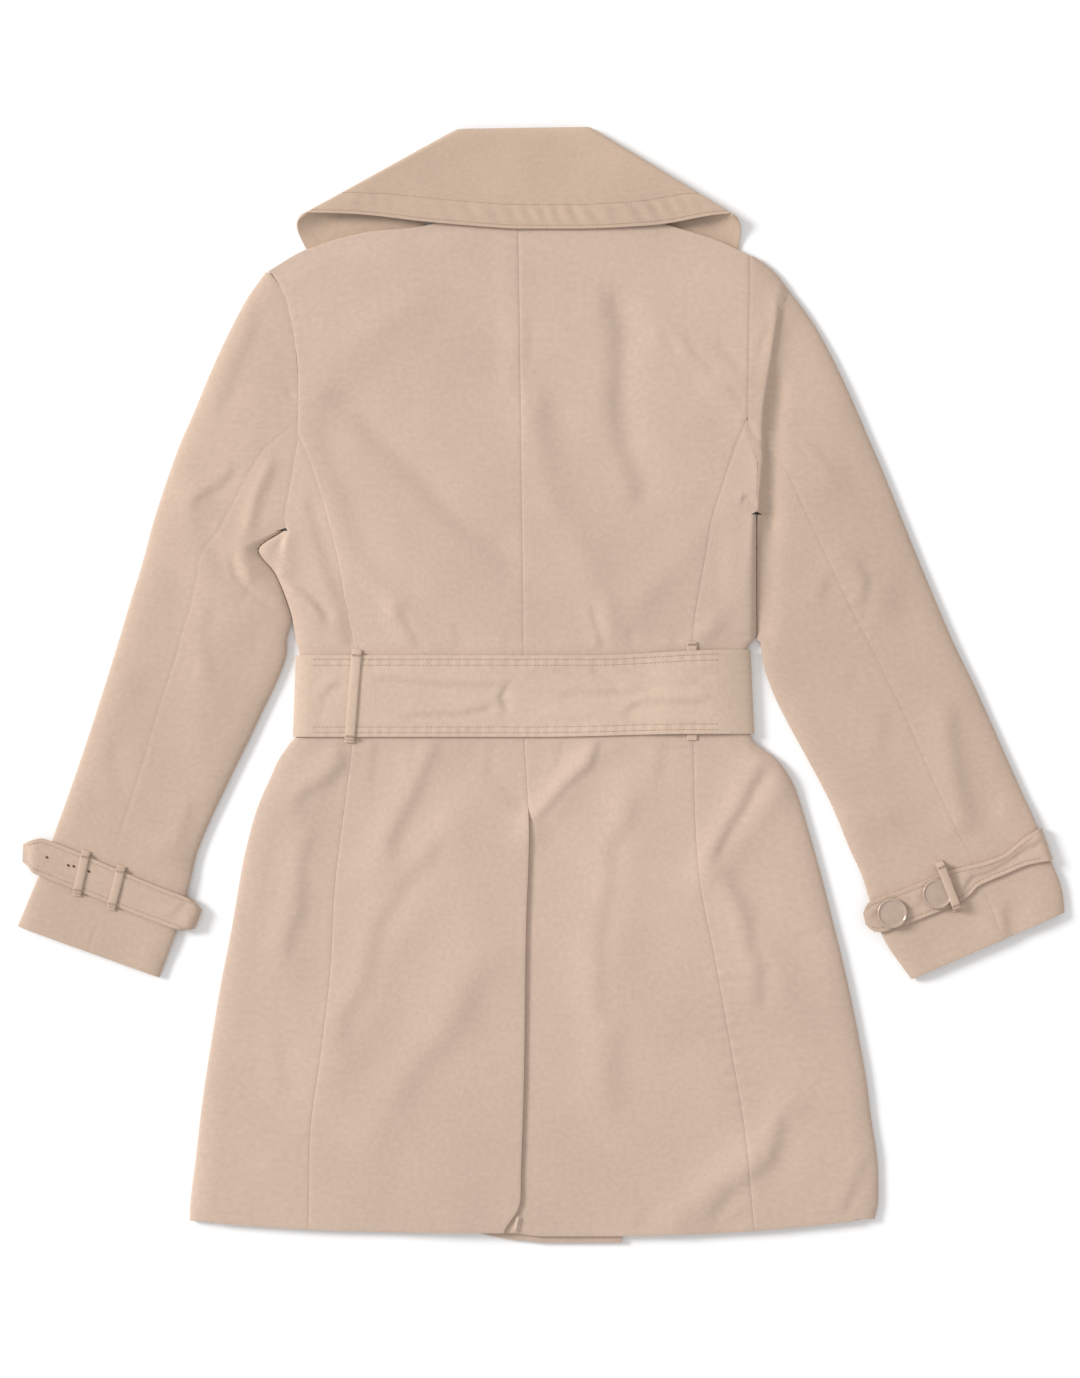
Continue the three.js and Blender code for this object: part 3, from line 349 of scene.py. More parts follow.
RIGHT_ARM = named("line wide reach fall dip", [
    ([(196, 322), (191, 300), (188, 280), (185, 260), (182, 240), (179, 220), (178, 200), (179, 180),
      (177, 160), (175, 140), (172.6, 120), (172, 90), (171.8, 60), (170, 34)], 1.5, 8, 1.5, 0.9),
    ([(199, 316), (191, 270), (183.5, 220), (182.5, 180), (179, 140), (177, 100), (176, 40)],
     6.5, 30, 2.1, 0),
    ([(173, 137), (170.6, 145.5), (165, 150), (161, 149), (159, 143)], 1.3, 5, 0.9, 0.5),
    ([(181, 292), (171, 262)], 2.5, 6, 0.4, 0), ([(203, 198), (230, 166)], 3, 8, -0.3, -0.3),
    ([(248, 102), (260, 85), (258, 68), (248, 59)], 4, 11, 0.9, 0.2), ([(232, 94), (220, 61)], 4, 10, 0.6, 0),
    ([(282, 112), (290, 60)], 8, 18, 0.4, 0), ([(276, -12), (269, -66)], 6, 14, 0.5, 0),
    ([(252, 15), (238, -9)], 5, 12, 0.5, 0),
    ([(326, -2), (330, -45), (335, -80), (349, -124)], 8, 25, 2.3, 0.2),
    ([(284, -114), (265, -108), (250, -106), (236, -108)], 2.5, 8, 0.5, 0.2),
    ([(360, -86), (376, -130)], 6, 14, -0.8, 0), ([(381, -148), (393, -198)], 6, 14, -0.4, 0),
    ([(362, -146), (368, -176), (375, -210)], 5, 15, 1.6, 0), ([(350, -163), (364, -198)], 3, 8, 0.5, 0.4),
    ([(300, -150), (306, -222)], 7, 16, 0.4, 0)])
CREASES = UPPER_BACK + SKIRT + LEFT_ARM + RIGHT_ARM
FAR_AWAY = 1e9


def beside_line(x, y, line):
    points = np.array(line, float)
    best = np.full(np.shape(x), FAR_AWAY)
    beside, place = np.zeros_like(best), np.zeros_like(best)
    travelled = 0.0
    for first, second in zip(points[:-1], points[1:]):
        length = np.hypot(*(second - first))
        run = (second - first) / length
        ahead = (x - first[0]) * run[0] + (y - first[1]) * run[1]
        left = (y - first[1]) * run[0] - (x - first[0]) * run[1]
        inside = np.clip(ahead, 0, length)
        away = np.hypot(ahead - inside, left)
        nearer = away < best
        best = np.where(nearer, away, best)
        beside = np.where(nearer, np.copysign(away, left), beside)
        place = np.where(nearer, travelled + inside, place)
        travelled += length
    return beside, place, travelled


def crease_height(x, y, creases):
    height = np.zeros(np.shape(x))
    for crease in creases:
        beside, place, length = beside_line(x, y, crease["line"])
        fade = min(1.2 * crease["reach"], 0.45 * length)
        ends = smooth(place / fade) * smooth((length - place) / fade)
        step = np.tanh(beside / crease["wide"]) * np.exp(-(beside / crease["reach"]) ** 2)
        sunk = np.exp(-(beside / (1.3 * crease["wide"])) ** 2)
        height -= ends * (crease["fall"] * step + crease["dip"] * sunk)
    return height


print("creases", len(CREASES))

# %% [markdown]
# ## Small relief
# Cotton never lies dead flat. Sewing draws the cloth in along a seam, so short puckers stand across it and
# fade within a finger's width. Between them the cloth has a slow, uneven swell. Both are worked out from
# noise with a fixed place, so the coat comes out the same each time.

# %% Puckers, swells and seam hollows
SEAM_HOLLOW, SEAM_HOLLOW_WIDTH = 0.18, 1.8
SLOW_SWELL = named("height size", [(0.42, 46), (0.14, 19)])
NECK_CALM_FROM = 356


def swell(x, y, size, seed):
    flat = np.column_stack([x.ravel() / size, y.ravel() / size])
    values = [noise.noise(Vector((a, b, seed))) for a, b in flat]
    return np.array(values).reshape(x.shape)


def seam_relief(x, y, seams):
    relief = np.zeros_like(x)
    for seam in seams:
        beside, place, _ = beside_line(x, y, seam["line"])
        drift = 2.2 * np.sin(place / 31) + 1.3 * np.sin(place / 13)
        wave = np.sin(place * 2 * math.pi / seam["pitch"] + drift)
        strength = 0.55 + 0.45 * np.sin(place / 47 + seam["pitch"])
        relief += seam["pucker"] * strength * wave * np.exp(-(beside / seam["reach"]) ** 2)
        relief -= SEAM_HOLLOW * np.exp(-(beside / SEAM_HOLLOW_WIDTH) ** 2)
    return relief


def seam_from(curve, low, high, count=18):
    return [(float(curve(y)), float(y)) for y in np.linspace(low, high, count)]


def sleeve_seam(side, low, high, count=22):
    line = sleeve_line[side]
    heights = np.linspace(low, high, count)
    share = line["seam"](heights)
    return [(float(mix(line["outX"](h), line["inX"](h), s)), float(mix(line["outY"](h), h, s)))
            for h, s in zip(heights, share)]


BODY_SEAMS = [
    {"line": seam_from(centre_back, -434, 372), "pitch": 17, "pucker": 0.12, "reach": 8},
    {"line": seam_from(princess["left"], -430, 198), "pitch": 12, "pucker": 0.2, "reach": 9},
    {"line": seam_from(princess["right"], -430, 209), "pitch": 11, "pucker": 0.3, "reach": 11},
    {"line": seam_from(body_edge["left"], 126, 330), "pitch": 11, "pucker": 0.2, "reach": 9},
    {"line": seam_from(body_edge["right"], 176, 340), "pitch": 8, "pucker": 0.24, "reach": 9}]
SLEEVE_SEAMS = {
    "left": [BODY_SEAMS[3],
             {"line": sleeve_seam("left", -230, 206), "pitch": 12, "pucker": 0.2, "reach": 9}],
    "right": [BODY_SEAMS[4],
              {"line": sleeve_seam("right", -230, 206), "pitch": 9, "pucker": 0.34, "reach": 11}]}


def under_trim(x, y):
    waist = np.where((x > WAIST[0]) & (x < WAIST[1]),
                     smooth((y - BELT_BOTTOM) / 4 + 1) * smooth((BELT_TOP - y) / 4 + 1), 0)
    return 1 - np.maximum(waist, 0.9 * strap_band(x, y))


def relief(x, y, seams, seed):
    calm = under_trim(x, y) * (1 - smooth((y - NECK_CALM_FROM) / 10))
    slow = sum(row["height"] * swell(x, y, row["size"], seed + 3 * number)
               for number, row in enumerate(SLOW_SWELL))
    return calm * (crease_height(x, y, CREASES) + seam_relief(x, y, seams) + slow)


def body_top(x, y):
    return crest(x, y) + relief(x, y, BODY_SEAMS, 1.5)


def sleeve_top(side):
    return lambda x, y: crest(x, y) + relief(x, y, SLEEVE_SEAMS[side], 7.5)


print("seams that pucker", len(BODY_SEAMS) + 2)

# %% [markdown]
# ## From a grid to a cloth wall
# Every panel starts as a flat grid, as cloth starts on the cutting table. Its vertices are then laid where
# the panel lies on the coat. Solidify gives the cloth its thickness inwards from that skin, and a small
# bevel softens the cut edge. Where a panel has a notch, such as an armhole, the grid's faces are deleted.
# The UV map keeps the lengths of the cloth in metres, so the weave has one scale on every panel.

# %% Cloth from a grid
CUT_EDGE_ANGLE = math.radians(62)


def lay_grid(points, keep=None):
    rows, columns = points.shape[:2]
    shape = bmesh.new()
    uv = shape.loops.layers.uv.new("cloth")
    bmesh.ops.create_grid(shape, x_segments=columns - 1, y_segments=rows - 1, size=0.5)
    shape.verts.ensure_lookup_table()
    across = np.hypot(*np.moveaxis(np.diff(points, axis=1)[..., :2], -1, 0)).mean(axis=0)
    up = np.hypot(*np.moveaxis(np.diff(points, axis=0)[..., :2], -1, 0)).mean(axis=1)
    u_at = np.concatenate([[0], np.cumsum(np.maximum(across, 0.3))])
    v_at = np.concatenate([[0], np.cumsum(np.maximum(up, 0.3))])
    places = {}
    for vertex in shape.verts:
        column = round((vertex.co.x + 0.5) * (columns - 1))
        row = round((vertex.co.y + 0.5) * (rows - 1))
        places[vertex] = (row, column)
    for vertex, (row, column) in places.items():
        vertex.co = Vector(points[row, column]) * MM
    dropped = []
    for face in shape.faces:
        spots = [places[vertex] for vertex in face.verts]
        for loop, (row, column) in zip(face.loops, spots):
            loop[uv].uv = (u_at[column] * MM, v_at[row] * MM)
        if keep is not None and not keep[min(s[0] for s in spots), min(s[1] for s in spots)]:
            dropped.append(face)
    if dropped:
        bmesh.ops.delete(shape, geom=dropped, context="FACES")
    shape.normal_update()
    highest = max(shape.faces, key=lambda face: face.calc_center_median().z + 0.004 * abs(face.normal.z))
    if highest.normal.z < 0:
        bmesh.ops.reverse_faces(shape, faces=shape.faces)
    for face in shape.faces:
        face.smooth = True
    return shape


def finish_cloth(shape, name, wall, edge):
    area = sum(face.calc_area() for face in shape.faces)
    mesh = bpy.data.meshes.new(name)
    shape.to_mesh(mesh)
    shape.free()
    piece = bpy.data.objects.new(name, mesh)
    bpy.context.collection.objects.link(piece)
    thick = piece.modifiers.new("wall", "SOLIDIFY")
    thick.thickness = wall * MM
    thick.offset = -1
    soften = piece.modifiers.new("soft_edge", "BEVEL")
    soften.width = edge * MM
    soften.segments = 2
    soften.limit_method = "ANGLE"
    soften.angle_limit = CUT_EDGE_ANGLE
    return piece, area


def cloth(name, node, slot, points, wall=WALL, keep=None, edge=0.05):
    piece, area = finish_cloth(lay_grid(points, keep), name, wall, edge)
    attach(piece, "root")
    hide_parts(node)
    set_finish(piece, slot)
    print(name, "faces", len(piece.data.polygons), "area", round(area, 4))
    return piece

# %% [markdown]
# ## The body
# The body's rows run from the hem to the shoulders. The lowest rows bend to the hem, and the highest fan
# out to the neckline and shoulders. Each panel fills the space between two seams. The side backs go on
# round the folded side and tuck under, where they meet the fronts.

# %% Rows and folded edges
STEP = 2.6
HEM_ROW, SHOULDER_ROW = -400.0, 224.0
HEM_DEPTH, SHOULDER_DEPTH = 38, 135
SHOULDER_POINT = {"left": 330.0, "right": 342.8}
OPEN_FROM = {"left": 124.5, "right": 137.5}
PRINCESS_TOP = {"left": 200.0, "right": 211.0}
NECK_POINT = {"left": -90.8, "right": 98.8}
FRONT_EDGE = {"left": 64.4, "right": -92.4}
FRONT_NECK_LOW, INNER_FRONT_DROP, INNER_HEM_FROM, FRONT_TUCK = 250.0, 5.5, -54.0, 14.0
SIGN = {"left": -1, "right": 1}


def body_rows(step):
    hem = np.linspace(1, 0, max(int(HEM_DEPTH / step), 3))[:-1]
    straight = np.linspace(HEM_ROW, SHOULDER_ROW, int((SHOULDER_ROW - HEM_ROW) / step) + 1)
    top = np.linspace(0, 1, max(int(SHOULDER_DEPTH / step), 5))[1:]
    y = np.concatenate([np.full(len(hem), HEM_ROW), straight, np.full(len(top), SHOULDER_ROW)])
    hems = np.concatenate([hem, np.zeros(len(straight) + len(top))])
    tops = np.concatenate([np.zeros(len(hem) + len(straight)), top])
    return {"y": y, "hem": hems, "top": tops}


def part_of(rows, chosen):
    return {key: values[chosen] for key, values in rows.items()}


def edge_height(rows, side):
    return rows["y"] + rows["top"] * (SHOULDER_POINT[side] - rows["y"])


def row_height(rows, x, side, top=back_top):
    edge = body_edge[side](edge_height(rows, side))
    spread = np.where(rows["top"] > 0, body_edge[side](SHOULDER_POINT[side]) / edge, 1)
    columns = (rows["y"], rows["hem"], rows["top"], spread)
    y, hem, fan, spread = (part[:, None] if np.ndim(x) > 1 else part for part in columns)
    return y + hem * (hem_line(x) - y) + fan * (top(x * spread) - y)


def seam_x(rows, seam, side):
    return seam(row_height(rows, seam(rows["y"]), side))


def across(start, end, count, crowd=1.0):
    share = np.linspace(0, 1, count)[None, :] ** crowd
    return np.asarray(start)[:, None] * (1 - share) + np.asarray(end)[:, None] * share


def rolled(edge_x, edge_y, inward_x, inward_y, high, low, count, shoulder=EDGE_ROLL):
    angle = np.linspace(0, math.pi, count)[None, :]
    reach = np.where(angle < math.pi / 2, shoulder, EDGE_ROLL) * (1 - np.sin(angle))
    x = np.asarray(edge_x)[:, None] + np.asarray(inward_x)[:, None] * reach
    y = np.asarray(edge_y)[:, None] + np.asarray(inward_y)[:, None] * reach
    top, bottom = high(x, y), low(x, y)
    return np.stack([x, y, (top + bottom) / 2 + (top - bottom) / 2 * np.cos(angle)], axis=-1)


def fold_share(y, side, opening=26.0):
    return 0.25 + 0.75 * smooth((OPEN_FROM[side] - y) / opening)


def skin(x, y, height):
    return np.stack([x, y, height(x, y)], axis=-1)


# %% The back
ROWS = body_rows(STEP)
CORNER_CURL, CURL_FROM = 9.0, -404.0
BACK_COLUMNS, LAP_COLUMNS, SIDE_COLUMNS, SIDE_TURN_COLUMNS = 72, 10, 42, 15
LAP_MARGIN, NECK_DROP, NECK_DROP_FROM = 2.5, 1.5, 0.86
TIGHT_FOLD = {"left": 26.0, "right": 110.0}


def back_panel(side):
    sign = SIGN[side]
    high_rows = (ROWS["top"] > 0) | (ROWS["y"] > PRINCESS_TOP[side])
    at_seam = seam_x(ROWS, princess[side], side)
    outer = np.where(high_rows, body_edge[side](edge_height(ROWS, side)), at_seam)
    start = seam_x(ROWS, centre_back, side) + sign * BUTT / 2
    if side == "left":
        start = start - CORNER_CURL * smooth((CURL_FROM - row_height(ROWS, start, side)) / 34) ** 2
    x = across(start, outer - sign * BUTT / 2, BACK_COLUMNS)
    turn = NECK_DROP * smooth((ROWS["top"] - NECK_DROP_FROM) / (1 - NECK_DROP_FROM))[:, None]
    points = skin(x, row_height(ROWS, x, side), body_top)
    points[..., 2] -= turn
    keep = None
    if side == "right":
        lap_x = across(start - VENT_UNDERLAP, start - LAP_MARGIN, LAP_COLUMNS)
        lap = skin(lap_x, row_height(ROWS, lap_x, side), lambda a, b: crest(a, b) - WALL - LAY_GAP)
        points = np.concatenate([lap, points], axis=1)
        keep = np.ones((points.shape[0] - 1, points.shape[1] - 1), bool)
        keep[ROWS["y"][1:] > VENT_TOP, :LAP_COLUMNS] = False
    return cloth(f"cloth_back_{side}", f"back_{side}", "body_cloth", points, keep=keep)


def side_back(side):
    sign = SIGN[side]
    rows = part_of(ROWS, (ROWS["top"] == 0) & (ROWS["y"] <= PRINCESS_TOP[side] + STEP))
    is_open = rows["y"] > OPEN_FROM[side]
    edge = seam_x(rows, body_edge[side], side)
    share = fold_share(rows["y"], side, TIGHT_FOLD[side])
    end = np.where(is_open, edge - sign * BUTT / 2, edge - sign * SHOULDER_ROLL * share)
    begin = np.where(rows["y"] > PRINCESS_TOP[side], end - sign * BUTT,
                     seam_x(rows, princess[side], side) + sign * BUTT / 2)
    x = across(begin, end, SIDE_COLUMNS)
    top = skin(x, row_height(rows, x, side), body_top)
    inward = -sign * share
    turn = rolled(edge, row_height(rows, edge, side), inward, 0 * inward, body_top, body_low,
                  SIDE_TURN_COLUMNS, SHOULDER_ROLL)[:, 1:]
    last = across(edge - sign * (EDGE_ROLL + FRONT_TUCK / 2), edge - sign * (EDGE_ROLL + FRONT_TUCK), 2)
    points = np.concatenate([top, turn, skin(last, row_height(rows, last, side), body_low)], axis=1)
    keep = np.ones((points.shape[0] - 1, points.shape[1] - 1), bool)
    keep[is_open[1:], SIDE_COLUMNS - 1:] = False
    return cloth(f"cloth_side_back_{side}", f"side_back_{side}", "body_cloth", points, keep=keep)


for name in ("left", "right"):
    back_panel(name)
    side_back(name)

# %% [markdown]
# ## The fronts
# The coat lies on its fronts, so nothing of them shows but a strip of the inner one below the hem. They
# are plain: the outer front flat on the table, and the inner front stepping up onto it.

# %% The fronts
FRONT_STEP, FRONT_COLUMNS = 9.0, 26
FRONT_ROWS = body_rows(FRONT_STEP)


def front_top(side):
    low = float(back_top(NECK_POINT[side]))
    depth = SIGN[side] * (NECK_POINT[side] - FRONT_EDGE[side])

    def top(x):
        beyond = SIGN[side] * (NECK_POINT[side] - x)
        return np.where(beyond <= 0, back_top(x), mix(low, FRONT_NECK_LOW, beyond / depth))
    return top


def front_panel(side):
    sign = SIGN[side]
    outer_edge = FRONT_EDGE["right"]
    edge = np.where(FRONT_ROWS["top"] > 0, body_edge[side](edge_height(FRONT_ROWS, side)),
                    seam_x(FRONT_ROWS, body_edge[side], side))
    is_open = (FRONT_ROWS["top"] > 0) | (FRONT_ROWS["y"] > OPEN_FROM[side])
    tuck = np.where(is_open, SEAM_GAP / 2, EDGE_ROLL + FRONT_TUCK + SEAM_GAP)
    x = across(edge - sign * tuck, np.full(len(edge), FRONT_EDGE[side]), FRONT_COLUMNS)
    drop = 0.0
    if side == "left":
        drop = INNER_FRONT_DROP * FRONT_ROWS["hem"][:, None] * smooth((x - INNER_HEM_FROM) / (2 * RAMP))

    def low(a, b):
        lap = smooth((a - outer_edge) / RAMP + 1.3) * smooth((front_top("right")(a) - b) / RAMP + 4)
        return body_low(a, b) + (WALL + SEAM_GAP) * lap * (side == "left")
    y = row_height(FRONT_ROWS, x, side, front_top(side)) - drop
    points = np.stack([x, y, low(x, y) + WALL], axis=-1)
    return cloth(f"cloth_front_{side}", f"front_{side}", "body_cloth", points)


for name in ("left", "right"):
    front_panel(name)

# %% [markdown]
# ## The sleeves
# A two-piece sleeve is a tube, pressed flat. Its rows run across the arm, from the outer fold to the inner
# one, and fan out at the head along the armhole. The upper piece wraps the outer fold and the under piece
# the inner one. At the head the under piece is notched where the armhole cuts through its fold.

# %% Sleeve rows
CUFF_LINE = {"left": -234.0, "right": -235.6}
ARM_ROWS, HEAD_ROWS = 132, 76
CLOSE_BY, CLOSING = 3.2, 4.0


def sleeve_rows(side):
    line = sleeve_line[side]
    head_low = OPEN_FROM[side] + 0.5
    fold_high = OPEN_FROM[side] - 2
    lower = np.linspace(CUFF_LINE[side], fold_high, ARM_ROWS)
    head = np.linspace(head_low, SHOULDER_POINT[side] - 1.5, HEAD_ROWS)
    in_y = np.concatenate([lower, head])
    is_head = np.concatenate([np.zeros(len(lower), bool), np.ones(len(head), bool)])
    beside = SIGN[side] * (line["inX"](in_y) - body_edge[side](in_y))
    beside = mix(SEAM_GAP, beside, smooth((beside - CLOSE_BY) / CLOSING))
    in_x = body_edge[side](in_y) + SIGN[side] * np.where(is_head, BUTT / 2, beside)
    out_x, out_y = line["outX"](in_y), line["outY"](in_y)
    width = np.hypot(out_x - in_x, out_y - in_y)
    return {"x": out_x, "y": out_y, "width": width, "inX": (in_x - out_x) / width,
            "inY": (in_y - out_y) / width, "seam": np.minimum(line["seam"](in_y), 1) * width,
            "head": is_head, "fold": fold_share(in_y, side)}


def at_distance(rows, distance):
    return (rows["x"][:, None] + rows["inX"][:, None] * distance,
            rows["y"][:, None] + rows["inY"][:, None] * distance)


SLEEVE_COLUMNS, TURN_COLUMNS, UNDERSIDE_COLUMNS, NARROWEST = 72, 13, 8, 0.8
FOLD_CROWD, WIDEST_ROLL = 1.3, 0.35


def sleeve_upper(side):
    rows = sleeve_rows(side)
    high = sleeve_top(side)
    roll = np.minimum(EDGE_ROLL, rows["width"] * WIDEST_ROLL)
    share = roll / EDGE_ROLL
    seam = np.where(rows["width"] - rows["seam"] > NARROWEST, rows["seam"] - BUTT / 2, rows["width"])
    top = skin(*at_distance(rows, across(seam, share * SHOULDER_ROLL, SLEEVE_COLUMNS, FOLD_CROWD)), high)
    turn = rolled(rows["x"], rows["y"], rows["inX"] * share, rows["inY"] * share, high, sleeve_low,
                  TURN_COLUMNS, SHOULDER_ROLL)
    bottom = skin(*at_distance(rows, across(roll, seam, UNDERSIDE_COLUMNS)), sleeve_low)
    points = np.concatenate([top, turn[:, 1:], bottom[:, 1:]], axis=1)
    return cloth(f"cloth_sleeve_upper_{side}", f"sleeve_upper_{side}", "sleeve_cloth", points)


def sleeve_under(side):
    rows = sleeve_rows(side)
    apart = rows["width"] - rows["seam"] > NARROWEST
    rows = part_of(rows, apart | np.roll(apart, 1))
    high = sleeve_top(side)
    seam = np.where(rows["width"] - rows["seam"] > NARROWEST, rows["seam"] + BUTT / 2, rows["width"] - BUTT)
    top_end, bottom_end = (np.where(rows["head"], rows["width"], rows["width"] - rows["fold"] * roll)
                           for roll in (SHOULDER_ROLL, EDGE_ROLL))
    top = skin(*at_distance(rows, across(seam, top_end, SLEEVE_COLUMNS)), high)
    edge = at_distance(rows, rows["width"][:, None])
    turn = rolled(edge[0][:, 0], edge[1][:, 0], -rows["inX"] * rows["fold"], -rows["inY"] * rows["fold"],
                  high, sleeve_low, TURN_COLUMNS, SHOULDER_ROLL)
    bottom = skin(*at_distance(rows, across(bottom_end, seam, UNDERSIDE_COLUMNS)), sleeve_low)
    points = np.concatenate([top, turn[:, 1:-1], bottom], axis=1)
    keep = np.ones((points.shape[0] - 1, points.shape[1] - 1), bool)
    turning = np.arange(SLEEVE_COLUMNS - 1, SLEEVE_COLUMNS + TURN_COLUMNS - 2)
    keep[np.ix_(rows["head"][1:], turning)] = False
    return cloth(f"cloth_sleeve_under_{side}", f"sleeve_under_{side}", "sleeve_cloth", points, keep=keep)


for name in ("left", "right"):
    sleeve_upper(name)
    sleeve_under(name)

# %% [markdown]
# ## The collar
# The collar's fall folds down over the back from the top of the stand. At both ends the cloth curls round
# and carries on underneath as the leaf, which lies under the fronts. A shallow hollow runs where the fall
# is topstitched, and its lower edge stands a little off the back.

# %% Collar and stand
COLLAR_CREST, COLLAR_FOLD_DROP, COLLAR_END_RAISE = 10.6, 3.2, 1.6
COLLAR_FOLD = {"left": (-67.6, 443.6), "right": (38.8, 445.2)}
COLLAR_CORNER = {"left": (-192, 376.5), "right": (156, 376)}
LEAF_DROP, LEAF_WIDTH = 30.0, {"left": 84.0, "right": 50.0}
END_BULGE = {"left": (3.6, 2.0), "right": (2.8, 8.0)}
STAND_TOP, STAND_CREST = 439.0, 8.2
STAND_HALF = {"left": (-84, -60), "right": (92, 32)}
COLLAR_DEPTH, COLLAR_ROWS, COLLAR_COLUMNS, COLLAR_TURN_COLUMNS = 72, 34, 104, 17
EDGE_ROWS = [0.012, 0.025, 0.045, 0.97, 0.985]
COLLAR_ROWS_IN = (2.4, 17.0)
fall = np.sort(np.concatenate([np.linspace(0, 1, COLLAR_ROWS), EDGE_ROWS]))
end_left, end_right = (np.array([mix(np.array(COLLAR_FOLD[s]), np.array(COLLAR_CORNER[s]), t) for t in fall])
                       for s in ("left", "right"))


def collar_place(u, t, left, right):
    x = mix(left[0], right[0], u)
    fold_y = mix(COLLAR_FOLD["left"][1], COLLAR_FOLD["right"][1], u)
    lower = fall_edge(mix(COLLAR_CORNER["left"][0], COLLAR_CORNER["right"][0], u))
    return x, mix(fold_y, lower, t)


def collar_high(x, y, t, left, right):
    near_end = np.minimum(x - left[0], right[0] - x)
    turn = 1 - np.sqrt(1 - (1 - np.clip(t * 70 / EDGE_ROLL, 0, 1)) ** 2)
    base = COLLAR_CREST + COLLAR_END_RAISE * t * smooth(1 - near_end / 60) - COLLAR_FOLD_DROP * turn
    distance = (1 - t) * COLLAR_DEPTH
    rows_hollow = (0.22 * np.exp(-((distance - COLLAR_ROWS_IN[0]) / 1.3) ** 2)
                   + 0.3 * np.exp(-((distance - COLLAR_ROWS_IN[1]) / 2.2) ** 2))
    uneven = 0.3 + 0.3 * smooth((x + 60) / 60) + 0.12 * np.sin(x / 13)
    draw = uneven * np.sin((x + 0.6 * y) / 2.3 + 2 * np.sin(x / 19)) * np.exp(-((distance - 10) / 6) ** 2)
    calm = smooth(t * 7) * smooth(near_end / 22)
    return base - rows_hollow + calm * (draw + 0.75 * swell(x, y, 52, 21.5) + 0.2 * swell(x, y, 17, 3.5))


def collar_points():
    rows = []
    for t, left, right in zip(fall, end_left, end_right):
        span = right[0] - left[0]
        share = np.linspace(EDGE_ROLL / span, 1 - EDGE_ROLL / span, COLLAR_COLUMNS)
        x, y = collar_place(share, t, left, right)
        top = np.stack([x, y, collar_high(x, y, t, left, right)], axis=-1)
        row = [top]
        for side, end, inward, u in (("left", left, 1.0, 0.0), ("right", right, -1.0, 1.0)):
            edge_y = collar_place(u, t, left, right)[1]
            middle, last = END_BULGE[side]
            turned = np.linspace(0, 1, COLLAR_TURN_COLUMNS)
            turn = rolled(end[:1], np.array([edge_y]), np.array([inward]), np.zeros(1),
                          lambda a, b: collar_high(a, b, t, left, right), lambda a, b: 0 * a,
                          COLLAR_TURN_COLUMNS)[0]
            bulge = 4 * middle * turned * (1 - turned) + last * turned * (2 * turned - 1)
            turn[:, 0] -= inward * bulge * t ** 2
            turn[:, 1] -= LEAF_DROP * t ** 2 * turned ** 1.8
            reach = EDGE_ROLL - last * t ** 2 + mix(10, LEAF_WIDTH[side], t) * np.linspace(0, 1, 12)[1:]
            leaf_y = edge_y - LEAF_DROP * t ** 2
            leaf = np.column_stack([end[0] + inward * reach, 0 * reach + leaf_y, 0 * reach])
            strip = np.concatenate([turn[1:], leaf])
            row = [strip[::-1]] + row if inward > 0 else row + [strip]
        rows.append(np.concatenate(row))
    return np.array(rows)


cloth("cloth_collar", "collar", "trim_cloth", collar_points(), wall=COLLAR_WALL,
      edge=0.4)


def stand_points():
    up = np.linspace(0, 1, 12)
    left, right = (mix(*STAND_HALF[side], up) for side in ("left", "right"))
    x = across(left, right, 44)
    low = back_top(x) + SEAM_GAP
    return np.stack([x, low + (STAND_TOP - low) * up[:, None], np.full_like(x, STAND_CREST)], axis=-1)


cloth("cloth_collar_stand", "collar_stand", "trim_cloth", stand_points(), wall=COLLAR_WALL)

# %% [markdown]
# ## The belt and its loops
# The belt is a long straight strip, stitched four times along its length. It lies over the back, turns
# round both sides of the waist and goes on under the fronts. Its own creases are rows of a table too.

# %% Belt
BELT_ENDS = {"left": (-198.6, -196.2), "right": (170.0, 167.0)}
LOOP_WIDTH, RIGHT_LOOP_X, CARRIER_WIDTH = 8.0, 120.0, 7.0
BELT_SHOULDER, BELT_CRUMPLE = {"left": 15.0, "right": 28.0}, 1.7
BELT_CREASES = named("line wide reach fall dip", [
    ([(-25, 1), (-33, -10), (-27, -24)], 2.5, 7, 0.6, 0.4),
    ([(-36, -17), (-66, -23.6), (-112, -24.4)], 2.5, 7, 0.55, 0.15),
    ([(-23, -1.2), (-88, 0.4), (-136, 6.8)], 3, 8, 0.6, 0.1), ([(82, -6), (12, -6.8)], 3, 8, 0.5, 0.1),
    ([(37, 13), (66, -4.6)], 2.5, 7, 0.2, 0.5), ([(138, -13.2), (79, -14), (62, -23)], 3, 8, 0.6, 0.1),
    ([(126, -1.6), (84, 5.6)], 3, 7, 0.45, 0), ([(-158, 6), (-182, -14)], 3.5, 8, 0.5, 0),
    ([(-170, -18), (-192, -26)], 3, 7, 0.4, 0.1), ([(16, 10), (-14, 13)], 4, 9, 0.4, 0),
    ([(150, 6), (112, 13)], 4, 9, 0.4, 0), ([(44, -27), (-4, -27)], 3, 7, 0.35, 0)])
BELT_ROWS_IN = (3.4, 8.0)


def belt_crest(x, y):
    return (crest(x, y) + LAY_GAP + STRAP_WALL
            + 1.5 * smooth(1.25 - np.abs(x - RIGHT_LOOP_X) / 38))


